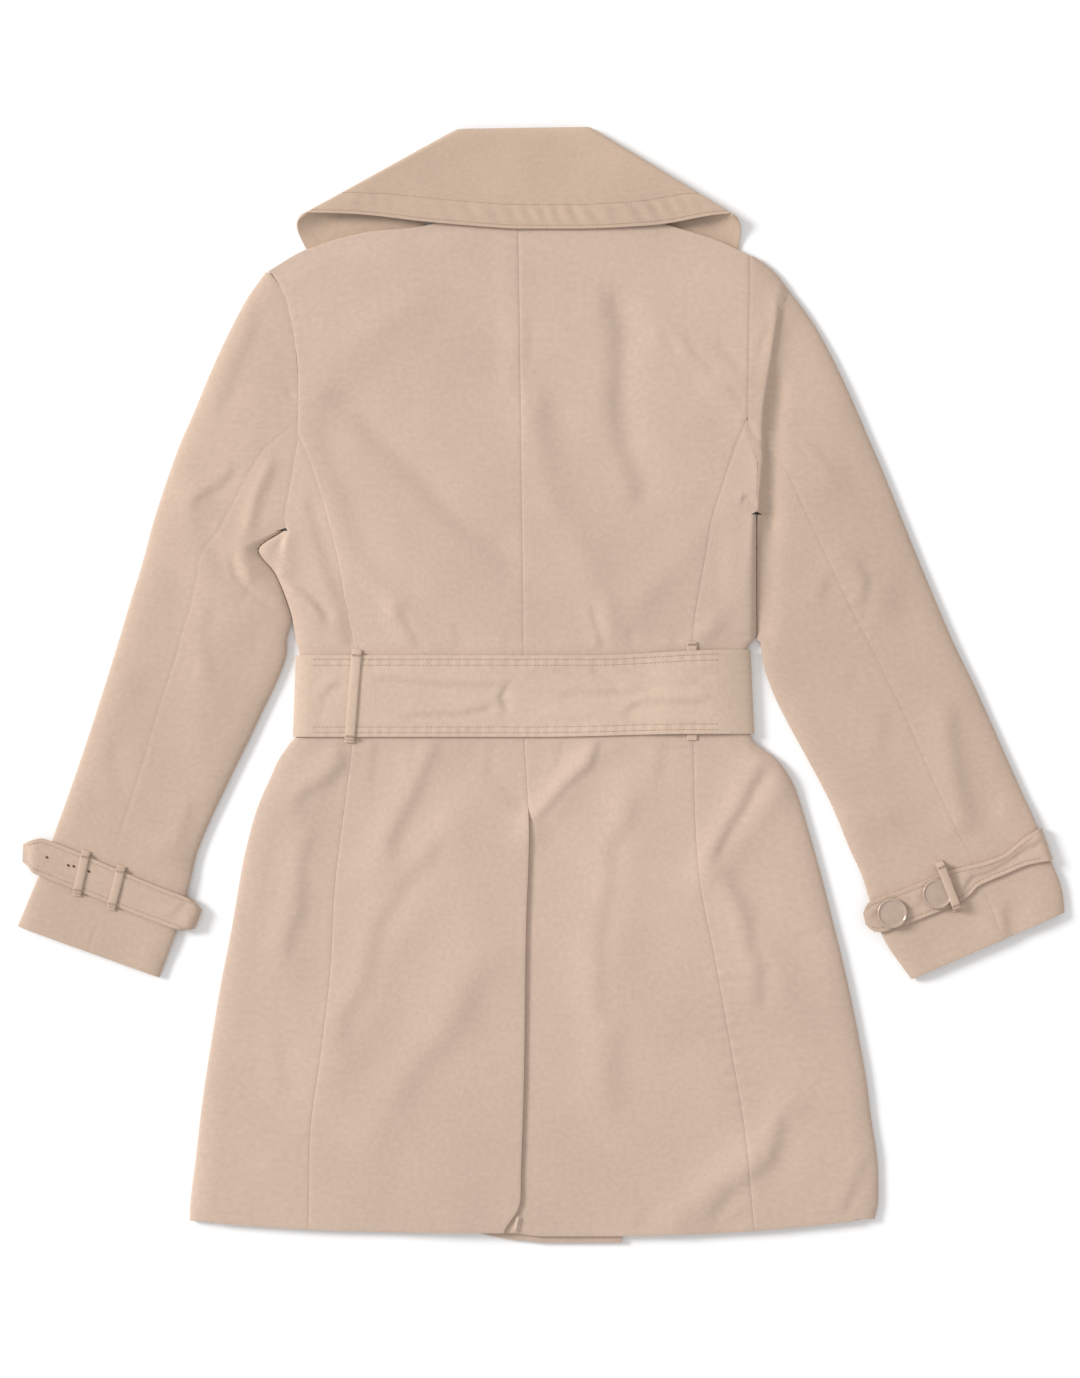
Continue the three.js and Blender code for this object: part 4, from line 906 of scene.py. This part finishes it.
def belt_top(x, y):
    low, high = belt_height(x, 0), belt_height(x, 1)
    near = np.minimum(y - low, high - y)
    calm = smooth((x - BELT_ENDS["left"][0] - BELT_SHOULDER["left"]) / 12) * smooth(
        (BELT_ENDS["right"][0] - BELT_SHOULDER["right"] - 3 - x) / 12)
    hollow = sum(0.2 * np.exp(-((near - inside) / 1.1) ** 2) for inside in BELT_ROWS_IN)
    draw = 0.2 * np.sin(x / 1.4 + 1.7 * np.sin(x / 11)) * np.exp(-((near - 5.6) / 3.6) ** 2)
    shape = BELT_CRUMPLE * crease_height(x, y, BELT_CREASES) + 0.4 * swell(x, y, 26, 31.5)
    return belt_crest(x, y) + calm * (draw - hollow + shape * smooth(near / 9))


def belt_height(x, up):
    return mix(-41.8 + 2.4 * smooth(x / 120), 23.4 + 4.4 * smooth((x - 40) / 110), up)


def belt_points():
    rows = []
    for up in np.linspace(0, 1, 36):
        left, right = (mix(*BELT_ENDS[side], up) for side in ("left", "right"))
        x = np.linspace(left + BELT_SHOULDER["left"], right - BELT_SHOULDER["right"], 200)
        row = [skin(x, belt_height(x, up), belt_top)]
        for side, edge, inward, end in (("left", left, 1.0, -SEAM_GAP), ("right", right, -1.0, SEAM_GAP)):
            turn = rolled(np.array([edge]), belt_height(np.array([edge]), up), np.array([inward]),
                          np.zeros(1), belt_crest, lambda a, b: 0 * a, 18, BELT_SHOULDER[side])[0, 1:]
            front = np.linspace(edge + inward * EDGE_ROLL, end, 8)[1:]
            strip = np.concatenate([turn, np.stack([front, belt_height(front, up), 0 * front], axis=-1)])
            row = [strip[::-1]] + row if inward > 0 else row + [strip]
        rows.append(np.concatenate(row))
    return np.array(rows)


cloth("cloth_belt", "belt", "trim_cloth", belt_points(), wall=STRAP_WALL,
      edge=0.4)


# %% Loops and carriers
def bridge_points(start, end, width, high):
    start, end = np.array(start), np.array(end)
    length = float(np.hypot(*(end - start)))
    ahead = (end - start) / length
    foot, rise = 1.5, 1.2
    stops = np.concatenate([np.linspace(-foot - rise, -rise, 4), np.linspace(-rise, 0, 4)[1:-1],
                            np.linspace(0, length, 22), np.linspace(length, length + rise, 4)[1:-1],
                            np.linspace(length + rise, length + rise + foot, 4)])
    share = np.linspace(-0.5, 0.5, 7)
    beside = width * share[:, None] + 0 * stops
    x = start[0] + ahead[0] * stops - ahead[1] * beside
    y = start[1] + ahead[1] * stops + ahead[0] * beside
    raised = smooth(stops / rise + 1) * smooth((length - stops) / rise + 1)
    foot_height = crest(x, y) + LAY_GAP + TRIM_WALL
    crown = 0.1 - 0.5 * np.abs(2 * share[:, None]) ** 3
    return np.stack([x, y, mix(foot_height, high(x, y), raised) + crown], axis=-1)


def strap_high(x, y):
    return crest(x, y) + LAY_GAP + STRAP_WALL


def over_belt(x, y):
    return belt_crest(x, y) + LAY_GAP + TRIM_WALL


def over_strap(x, y):
    return strap_high(x, y) + LAY_GAP + TRIM_WALL


def over_button(x, y):
    return over_strap(x, y) + BUTTON_HEIGHT + LAY_GAP


BUTTON_HEIGHT = 3.2
BRIDGES = {
    "belt_loop_left": ((-147.4, 25.4), (-153, -43.6), LOOP_WIDTH, over_belt),
    "strap_carrier_left_outer": ((-363.7, -135.3), (-370.3, -166.1), CARRIER_WIDTH, over_strap),
    "strap_carrier_left_inner": ((-335.4, -147.2), (-343, -177.2), CARRIER_WIDTH, over_strap),
    "strap_carrier_right": ((317.7, -143.7), (330.9, -178.1), CARRIER_WIDTH, over_button)}
for name, (start, end, width, high) in BRIDGES.items():
    cloth(f"cloth_{name}", name, "trim_cloth", bridge_points(start, end, width, high), wall=TRIM_WALL,
          edge=0.35)

loop_x = across(np.full(24, RIGHT_LOOP_X - LOOP_WIDTH / 2), np.full(24, RIGHT_LOOP_X + LOOP_WIDTH / 2), 7)
loop_y = np.linspace(-44.5, 34, 24)[:, None] + 0 * loop_x
loop_z = crest(loop_x, loop_y) + SEAM_GAP + TRIM_WALL
cloth("cloth_belt_loop_right", "belt_loop_right", "trim_cloth", np.stack([loop_x, loop_y, loop_z], axis=-1),
      wall=TRIM_WALL, edge=0.35)

# %% [markdown]
# ## Cuff straps
# Each strap wraps the sleeve above the cuff. On the left its free tab droops off the outer edge; on the
# right it runs under a carrier and is crumpled beyond it. Both are topstitched along their edges.

# %% Straps
STRAP_UNDER, STRAP_CHAMFER, TAB_DROOP, TAB_LENGTH = 62.0, 9.0, 5.5, 10.0
STRAP_COLUMNS, STRAP_ROW_IN = 58, 3.4
STRAP_CREASES = {
    "left": named("line wide reach fall dip", [
        ([(-382, -152), (-406, -146)], 2.5, 6, 0.4, 0.1), ([(-328, -163), (-354, -157)], 3, 7, 0.3, 0),
        ([(-290, -177), (-324, -166)], 3, 7, 0.4, 0.1), ([(-282, -172), (-298, -188)], 2, 5, 0.4, 0.5),
        ([(-279, -180), (-277, -197)], 1.8, 5, 0.9, 0.6)]),
    "right": named("line wide reach fall dip", [
        ([(402, -124), (386, -131.6), (368, -143.6), (356, -150), (343, -153.6), (334, -168)],
         1.8, 6, 0.9, 0.4),
        ([(374, -137), (352, -147), (338, -150)], 1.6, 5, 0.5, 0.3),
        ([(392, -124), (374, -135)], 1.6, 4.5, 0.5, 0.2), ([(346, -162), (337, -175)], 2, 5, 0.5, 0.4),
        ([(309, -160), (297, -182)], 2.5, 6, 0.35, 0.2), ([(274, -176), (260, -190)], 2, 6, 0.4, 0.3)])}


def strap_shape(side):
    line = STRAPS[side]
    place = np.array([[row["x"], row["y"]] for row in line], float)
    travelled = np.concatenate([[0], np.cumsum(np.hypot(*np.diff(place, axis=0).T))])
    table = [{"s": s, **row} for s, row in zip(travelled, line)]
    centre_x, centre_y, width = (along(table, "s", key) for key in ("x", "y", "width"))

    def place_at(stops, share):
        run = np.stack([centre_x(stops + 4) - centre_x(stops - 4), centre_y(stops + 4) - centre_y(stops - 4)])
        run /= np.hypot(*run)
        offset = width(stops) * share
        return centre_x(stops) - run[1] * offset, centre_y(stops) + run[0] * offset
    return place_at, width, travelled[-1]


def strap_top(side):
    drop = TAB_DROOP if side == "left" else 0
    tip = STRAPS[side][0]["x"]

    def high(x, y, near):
        tab = drop * (1 - smooth((x - tip) / TAB_LENGTH))
        folds = crease_height(x, y, STRAP_CREASES[side]) * smooth(near / 3)
        puckers = 0.1 * np.sin((x + y) / 1.1) * np.exp(-((near - STRAP_ROW_IN) / 2) ** 2)
        return strap_high(x, y) - tab - 0.22 * np.exp(-((near - STRAP_ROW_IN) / 1.0) ** 2) + folds + puckers
    return high


def strap_points(side):
    place_at, width, total = strap_shape(side)
    high = strap_top(side)
    ends = np.array([place_at(np.array(total - 4.0), 0), place_at(np.array(total), 0)])
    inward = (ends[0] - ends[1]) / np.hypot(*(ends[0] - ends[1]))
    chamfer = STRAP_CHAMFER if side == "left" else 0
    rows = []
    for share in np.linspace(-0.5, 0.5, 25):
        back = chamfer * smooth((abs(share) - 0.28) / 0.22)
        edge = ends[1] + np.array([inward[1], -inward[0]]) * width(total) * share + inward * back
        stops = np.linspace(0, total - EDGE_ROLL - back, STRAP_COLUMNS)
        x, y = place_at(stops, share)
        top = np.stack([x, y, high(x, y, width(stops) * (0.5 - abs(share)))], axis=-1)
        turn = rolled(edge[:1], edge[1:], inward[:1], inward[1:], strap_high, lambda a, b: 0 * a, 9)[0, 1:]
        below = np.array([0.25, 0.5, 0.75, 1])[:, None] * STRAP_UNDER + EDGE_ROLL
        rows.append(np.concatenate([top, turn, np.column_stack([edge + inward * below, np.zeros(4)])]))
    return np.array(rows)


for name in ("left", "right"):
    cloth(f"cloth_cuff_strap_{name}", f"cuff_strap_{name}", "trim_cloth", strap_points(name),
          wall=STRAP_WALL,
          edge=0.35)

# %% [markdown]
# ## Buttons
# The cuff buttons are moulded from a hard glossy plastic: a disc with a raised rim round a plain middle.
# One circle is extruded and scaled ring by ring, as a lathe would turn it.

# %% Buttons
BUTTON_PLACES = [(279.6, -182.4), (315.6, -166.9)]
BUTTON_PROFILE = named("radius height", [
    (10.6, 0), (11.6, 0.45), (12, 1.2), (12, 2.1), (11.8, 2.75), (11.5, 3.1), (11.1, 3.2), (10.7, 3.1),
    (10.3, 2.75), (9.8, 2.5), (8.8, 2.36), (7, 2.4), (4.6, 2.55), (2.6, 2.62), (1.2, 2.64)])


def turned_button(name, place):
    shape = bmesh.new()
    first = bmesh.ops.create_circle(shape, cap_ends=True, segments=48,
                                    radius=BUTTON_PROFILE[0]["radius"] * MM)
    bmesh.ops.reverse_faces(shape, faces=shape.faces)
    ring = [edge for vertex in first["verts"] for edge in vertex.link_edges]
    ring = list(dict.fromkeys(ring))
    for before, row in zip(BUTTON_PROFILE[:-1], BUTTON_PROFILE[1:]):
        made = bmesh.ops.extrude_edge_only(shape, edges=ring)["geom"]
        verts = [part for part in made if isinstance(part, bmesh.types.BMVert)]
        ring = [part for part in made if isinstance(part, bmesh.types.BMEdge)]
        growth = row["radius"] / before["radius"]
        bmesh.ops.scale(shape, vec=(growth, growth, 1), verts=verts)
        bmesh.ops.translate(shape, vec=(0, 0, (row["height"] - before["height"]) * MM), verts=verts)
    bmesh.ops.edgeloop_fill(shape, edges=ring)
    bmesh.ops.recalc_face_normals(shape, faces=shape.faces)
    x, y = place
    lift = float(strap_high(np.array(x, float), np.array(y, float))) + LAY_GAP
    bmesh.ops.translate(shape, vec=(x * MM, y * MM, lift * MM), verts=shape.verts)
    for face in shape.faces:
        face.smooth = abs(face.normal.z) < 0.999
    mesh = bpy.data.meshes.new(name)
    shape.to_mesh(mesh)
    shape.free()
    piece = bpy.data.objects.new(name, mesh)
    bpy.context.collection.objects.link(piece)
    return piece


for number, place in enumerate(BUTTON_PLACES, 1):
    button = turned_button(f"moulded_button_{number}", place)
    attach(button, "root")
    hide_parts(f"cuff_button_{number}")
    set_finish(button, "button")
    print(button.name, "faces", len(button.data.polygons))

# %% [markdown]
# ## Stitching
# Lockstitches lie in rows a few millimetres from each edge. Each stitch is one short capsule with its ends
# sunk in the cloth. A row is laid by walking along its line and dropping a stitch every step. They are
# joined into one piece for each cloth, since a sewing thread belongs to what it sews.

# %% Stitch rows
THREAD = 0.42
STITCH = 2.7
STITCH_STEP = 3.3


def walk(line, step):
    line = np.array(line, float)
    travelled = np.concatenate([[0], np.cumsum(np.hypot(*np.diff(line, axis=0).T))])
    count = max(int(travelled[-1] / step), 1)
    at = (np.arange(count) + 0.5) * travelled[-1] / count
    spots = np.column_stack([np.interp(at, travelled, line[:, 0]), np.interp(at, travelled, line[:, 1])])
    near = at[:, None] + np.array([-0.4, 0.4])
    run = np.column_stack([np.diff(np.interp(near, travelled, line[:, axis]), axis=1) for axis in (0, 1)])
    return spots, run / np.hypot(*run.T)[:, None]


def stitch_pattern(shape, length, thick):
    bmesh.ops.create_cone(shape, cap_ends=True, segments=6, radius1=thick * 0.55 * MM,
                          radius2=thick * 0.55 * MM, depth=length * 0.86 * MM)
    for cap in [face for face in shape.faces if len(face.verts) == 6]:
        bmesh.ops.inset_region(shape, faces=[cap], thickness=thick * 0.3 * MM, use_even_offset=True)
        push = math.copysign(length * 0.07 * MM, cap.calc_center_median().z)
        bmesh.ops.translate(shape, vec=(0, 0, push), verts=cap.verts)
    return [*shape.verts, *shape.edges, *shape.faces]


def only_verts(geometry):
    return [part for part in geometry if isinstance(part, bmesh.types.BMVert)]


def stitch_piece(name, rows, slot_name, step=STITCH_STEP, length=STITCH, thick=THREAD):
    shape = bmesh.new()
    pattern = stitch_pattern(shape, length, thick)
    for line, height in rows:
        spots, ahead = walk(line, step)
        front, back = spots + ahead * length / 2, spots - ahead * length / 2
        middle_z = height(spots[:, 0], spots[:, 1])
        front_z, back_z = height(front[:, 0], front[:, 1]), height(back[:, 0], back[:, 1])
        for spot, run, z, z0, z1 in zip(spots, ahead, middle_z, back_z, front_z):
            place = Vector((spot[0], spot[1], max(z, (z0 + z1) / 2) + thick * 0.2)) * MM
            turn = Vector((run[0], run[1], (z1 - z0) / length)).normalized().to_track_quat("Z", "Y")
            copy = only_verts(bmesh.ops.duplicate(shape, geom=pattern)["geom"])
            lay = Matrix.Translation(place) @ turn.to_matrix().to_4x4()
            bmesh.ops.transform(shape, matrix=lay, verts=copy)
    bmesh.ops.delete(shape, geom=only_verts(pattern), context="VERTS")
    mesh = bpy.data.meshes.new(name)
    shape.to_mesh(mesh)
    shape.free()
    piece = bpy.data.objects.new(name, mesh)
    bpy.context.collection.objects.link(piece)
    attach(piece, "root")
    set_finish(piece, slot_name)
    for polygon in mesh.polygons:
        polygon.use_smooth = True
    print(name, "faces", len(mesh.polygons))
    return piece


def collar_row(distance):
    t = 1 - distance / COLLAR_DEPTH
    left, right = (mix(np.array(COLLAR_FOLD[side]), np.array(COLLAR_CORNER[side]), t)
                   for side in ("left", "right"))
    line = [collar_place(u, t, left, right) for u in np.linspace(0.012, 0.988, 60)]
    return line, lambda x, y: collar_high(x, y, t, left, right)


stitch_piece("thread_collar", [collar_row(distance) for distance in COLLAR_ROWS_IN], "trim_cloth")

belt_rows = []
for inside in BELT_ROWS_IN:
    for up, sign in ((0, 1), (1, -1)):
        x = np.linspace(BELT_ENDS["left"][0] + 16, BELT_ENDS["right"][0] - 29, 80)
        belt_rows.append((np.column_stack([x, belt_height(x, up) + sign * inside]), belt_top))
stitch_piece("thread_belt", belt_rows, "trim_cloth")


def strap_rows(side):
    place_at, width, total = strap_shape(side)
    stops = np.linspace(4, total - EDGE_ROLL - 3, 70)
    high = strap_top(side)
    rows = []
    for sign in (-1, 1):
        share = sign * (0.5 - STRAP_ROW_IN / width(stops))
        rows.append((np.column_stack(place_at(stops, share)), lambda x, y: high(x, y, STRAP_ROW_IN)))
    return rows


stitch_piece("thread_straps", strap_rows("left") + strap_rows("right"), "trim_cloth")


# %% Bartacks and thread marks
def bartack(start, end, width, high, inside=1.4):
    start, end = np.array(start), np.array(end)
    ahead = (end - start) / np.hypot(*(end - start))
    beside = np.array([-ahead[1], ahead[0]]) * width * 0.42
    rows = []
    for offset in (0, 0.7, 1.4):
        middle = start + ahead * (inside + offset)
        rows.append(([middle - beside, middle + beside], high))
    return rows


tacks = []
for start, end, width, high in BRIDGES.values():
    tacks += bartack(start, end, width, high) + bartack(end, start, width, high)
loop_ends = [(RIGHT_LOOP_X, 34), (RIGHT_LOOP_X, 20)]
tacks += bartack(*loop_ends, LOOP_WIDTH, lambda x, y: crest(x, y) + SEAM_GAP + TRIM_WALL)
stitch_piece("thread_tacks", tacks, "trim_cloth", step=1.1, length=1.3, thick=0.5)

MARKS = [(-394.5, -138.2), (-377.4, -144.6), (-373.1, -145.4), (-361, -149.5)]
mark_rows = [([(x - 0.9, y + 0.4 + shift), (x + 0.9, y - 0.4 + shift)], strap_high)
             for x, y in MARKS for shift in (0, 0.8)]
stitch_piece("thread_marks", mark_rows, "trim_cloth", step=1.9, length=1.9, thick=0.9)

# %% [markdown]
# ## Cloth and plastic
# The coat is woven from fine cotton yarn in a twill: every weft thread passes over two warps and under
# one, and steps across by one thread in each row. A group makes those diagonal ribs from the UV map in
# metres and gives a height for the bump and a shade for the colour. A second group adds what handling
# leaves: slow drifts of tone and faint cloudy soiling.

# %% Shader groups
def new_group(name, inputs, outputs):
    group = bpy.data.node_groups.new(name, "ShaderNodeTree")
    for label, kind, default in inputs:
        socket = group.interface.new_socket(label, in_out="INPUT", socket_type=kind)
        if default is not None:
            socket.default_value = default
    for label, kind in outputs:
        group.interface.new_socket(label, in_out="OUTPUT", socket_type=kind)
    return group, group.nodes.new("NodeGroupInput"), group.nodes.new("NodeGroupOutput")


def maths(tree, operation, *values):
    node = tree.nodes.new("ShaderNodeMath")
    node.operation = operation
    for socket, value in zip(node.inputs, values):
        if isinstance(value, (int, float)):
            socket.default_value = value
        else:
            tree.links.new(value, socket)
    return node.outputs[0]


def weave_group():
    group, given, result = new_group("twill_weave", [
        ("UV", "NodeSocketVector", None), ("Threads per metre", "NodeSocketFloat", 2400.0)], [
        ("Height", "NodeSocketFloat"), ("Shade", "NodeSocketFloat")])
    split = group.nodes.new("ShaderNodeSeparateXYZ")
    group.links.new(given.outputs["UV"], split.inputs[0])
    warp = maths(group, "MULTIPLY", split.outputs[0], given.outputs["Threads per metre"])
    weft = maths(group, "MULTIPLY", split.outputs[1], given.outputs["Threads per metre"])
    ribs = maths(group, "SINE", maths(group, "MULTIPLY", maths(group, "ADD", warp, weft), 2.0944))
    yarn = maths(group, "SINE", maths(group, "MULTIPLY", maths(group, "SUBTRACT", warp, weft), 6.2832))
    both = maths(group, "ADD", ribs, maths(group, "MULTIPLY", yarn, 0.5))
    group.links.new(maths(group, "MULTIPLY", both, 0.5), result.inputs["Height"])
    slub = group.nodes.new("ShaderNodeTexNoise")
    slub.inputs["Scale"].default_value = 260
    slub.inputs["Detail"].default_value = 3
    group.links.new(given.outputs["UV"], slub.inputs["Vector"])
    shade = maths(group, "ADD", maths(group, "MULTIPLY", both, 0.25), slub.outputs["Fac"])
    group.links.new(shade, result.inputs["Shade"])
    return group


def handling_group():
    group, given, result = new_group("handling", [
        ("Position", "NodeSocketVector", None), ("Amount", "NodeSocketFloat", 1.0)], [
        ("Drift", "NodeSocketFloat")])
    slow = group.nodes.new("ShaderNodeTexNoise")
    slow.inputs["Scale"].default_value = 3.2
    slow.inputs["Detail"].default_value = 2
    cloud = group.nodes.new("ShaderNodeTexNoise")
    cloud.inputs["Scale"].default_value = 17
    cloud.inputs["Detail"].default_value = 4
    for texture in (slow, cloud):
        group.links.new(given.outputs["Position"], texture.inputs["Vector"])
    both = maths(group, "ADD", maths(group, "MULTIPLY", slow.outputs["Fac"], 0.65),
                 maths(group, "MULTIPLY", cloud.outputs["Fac"], 0.35))
    group.links.new(maths(group, "MULTIPLY", maths(group, "SUBTRACT", both, 0.5),
                          given.outputs["Amount"]), result.inputs["Drift"])
    return group


def linear(red, green, blue):
    def one(value):
        value /= 255
        return value / 12.92 if value <= 0.04045 else ((value + 0.055) / 1.055) ** 2.4
    return (one(red), one(green), one(blue), 1)


WEAVE, HANDLING = weave_group(), handling_group()


def woven(name, light, roughness=0.82):
    finish = bpy.data.materials.new(name)
    finish.use_nodes = True
    tree = finish.node_tree
    shader = tree.nodes["Principled BSDF"]
    uv = tree.nodes.new("ShaderNodeUVMap")
    place = tree.nodes.new("ShaderNodeTexCoord")
    weave = tree.nodes.new("ShaderNodeGroup")
    weave.node_tree = WEAVE
    handling = tree.nodes.new("ShaderNodeGroup")
    handling.node_tree = HANDLING
    tree.links.new(uv.outputs[0], weave.inputs["UV"])
    tree.links.new(place.outputs["Object"], handling.inputs["Position"])
    tone = maths(tree, "ADD", maths(tree, "MULTIPLY", weave.outputs["Shade"], 0.5),
                 maths(tree, "MULTIPLY", handling.outputs["Drift"], 0.8))
    ramp = tree.nodes.new("ShaderNodeValToRGB")
    ramp.color_ramp.elements[0].position = 0.0
    ramp.color_ramp.elements[0].color = linear(*(0.87 * part for part in light))
    ramp.color_ramp.elements[1].position = 0.6
    ramp.color_ramp.elements[1].color = linear(*light)
    tree.links.new(tone, ramp.inputs[0])
    tree.links.new(ramp.outputs[0], shader.inputs["Base Color"])
    bump = tree.nodes.new("ShaderNodeBump")
    bump.inputs["Strength"].default_value = 0.14
    bump.inputs["Distance"].default_value = 0.0002
    tree.links.new(weave.outputs["Height"], bump.inputs["Height"])
    tree.links.new(bump.outputs[0], shader.inputs["Normal"])
    rough = maths(tree, "ADD", maths(tree, "MULTIPLY", weave.outputs["Shade"], 0.1), roughness - 0.05)
    tree.links.new(rough, shader.inputs["Roughness"])
    shader.inputs["Sheen Weight"].default_value = 0.12
    shader.inputs["Sheen Roughness"].default_value = 0.5
    return finish


def moulded(name, colour):
    finish = bpy.data.materials.new(name)
    finish.use_nodes = True
    tree = finish.node_tree
    shader = tree.nodes["Principled BSDF"]
    shader.inputs["Base Color"].default_value = linear(*colour)
    place = tree.nodes.new("ShaderNodeTexCoord")
    grain = tree.nodes.new("ShaderNodeTexNoise")
    grain.inputs["Scale"].default_value = 160
    tree.links.new(place.outputs["Object"], grain.inputs["Vector"])
    ramp = tree.nodes.new("ShaderNodeValToRGB")
    ramp.color_ramp.elements[0].color = linear(*[part * 0.88 for part in colour])
    ramp.color_ramp.elements[1].color = linear(*colour)
    tree.links.new(grain.outputs["Fac"], ramp.inputs[0])
    tree.links.new(ramp.outputs[0], shader.inputs["Base Color"])
    tree.links.new(maths(tree, "ADD", maths(tree, "MULTIPLY", grain.outputs["Fac"], 0.12), 0.14),
                   shader.inputs["Roughness"])
    shader.inputs["Coat Weight"].default_value = 0.8
    return finish


FINISHES = {
    "body_cloth": woven("body_cotton", (211, 185, 166)),
    "sleeve_cloth": woven("sleeve_cotton", (207, 181, 161)),
    "trim_cloth": woven("trim_cotton", (215, 190, 169)),
    # The collar is the trim cotton painted darker: painted shade, so the top of the coat does not read
    # brighter under the key light.
    "collar": woven("collar_cotton_painted_shade", (204, 178, 156)),
    "thread": woven("thread", (188, 161, 140), 0.7),
    "dark_thread": woven("dark_thread", (88, 58, 40), 0.7),
    "button": moulded("button_plastic", (190, 165, 147))}


def finish_for(piece):
    if piece.name == "thread_marks":
        return FINISHES["dark_thread"]
    if piece.name.startswith("thread"):
        return FINISHES["thread"]
    if piece.name.startswith("cloth_collar"):
        return FINISHES["collar"]
    if "strap" in piece.name:
        return FINISHES["sleeve_cloth"]
    return FINISHES[piece["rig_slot"]]


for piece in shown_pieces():
    piece.data.materials.clear()
    piece.data.materials.append(finish_for(piece))

# %% [markdown]
# ## Table and light
# The coat lies on plain white paper. A large soft source stands far off to the upper left, low enough to
# rake across the creases. The world gives an even soft light from everywhere else.

# %% Floor and light
floor_shape = bmesh.new()
bmesh.ops.create_grid(floor_shape, x_segments=2, y_segments=2, size=3.0)
floor_mesh = bpy.data.meshes.new("paper")
floor_shape.to_mesh(floor_mesh)
floor_shape.free()
floor = bpy.data.objects.new("paper", floor_mesh)
bpy.context.collection.objects.link(floor)
paper = bpy.data.materials.new("paper")
paper.use_nodes = True
paper.node_tree.nodes["Principled BSDF"].inputs["Base Color"].default_value = (0.95, 0.95, 0.95, 1)
paper.node_tree.nodes["Principled BSDF"].inputs["Roughness"].default_value = 0.9
floor_mesh.materials.append(paper)


def soft_box(name, place, size, power, aim=(0, 0, 0)):
    light = bpy.data.lights.new(name, "AREA")
    light.shape = "DISK"
    light.size = size
    light.energy = power
    lamp = bpy.data.objects.new(name, light)
    lamp.location = place
    lamp.rotation_euler = (Vector(aim) - Vector(place)).to_track_quat("-Z", "Y").to_euler()
    bpy.context.collection.objects.link(lamp)


soft_box("key", (-8.3, 3.0, 5.1), 3.4, 890)
world = bpy.data.worlds.new("studio")
bpy.context.scene.world = world
world.use_nodes = True
world.node_tree.nodes["Background"].inputs["Color"].default_value = (1, 1, 1, 1)
world.node_tree.nodes["Background"].inputs["Strength"].default_value = 0.72
bpy.context.scene.view_settings.view_transform = "Standard"
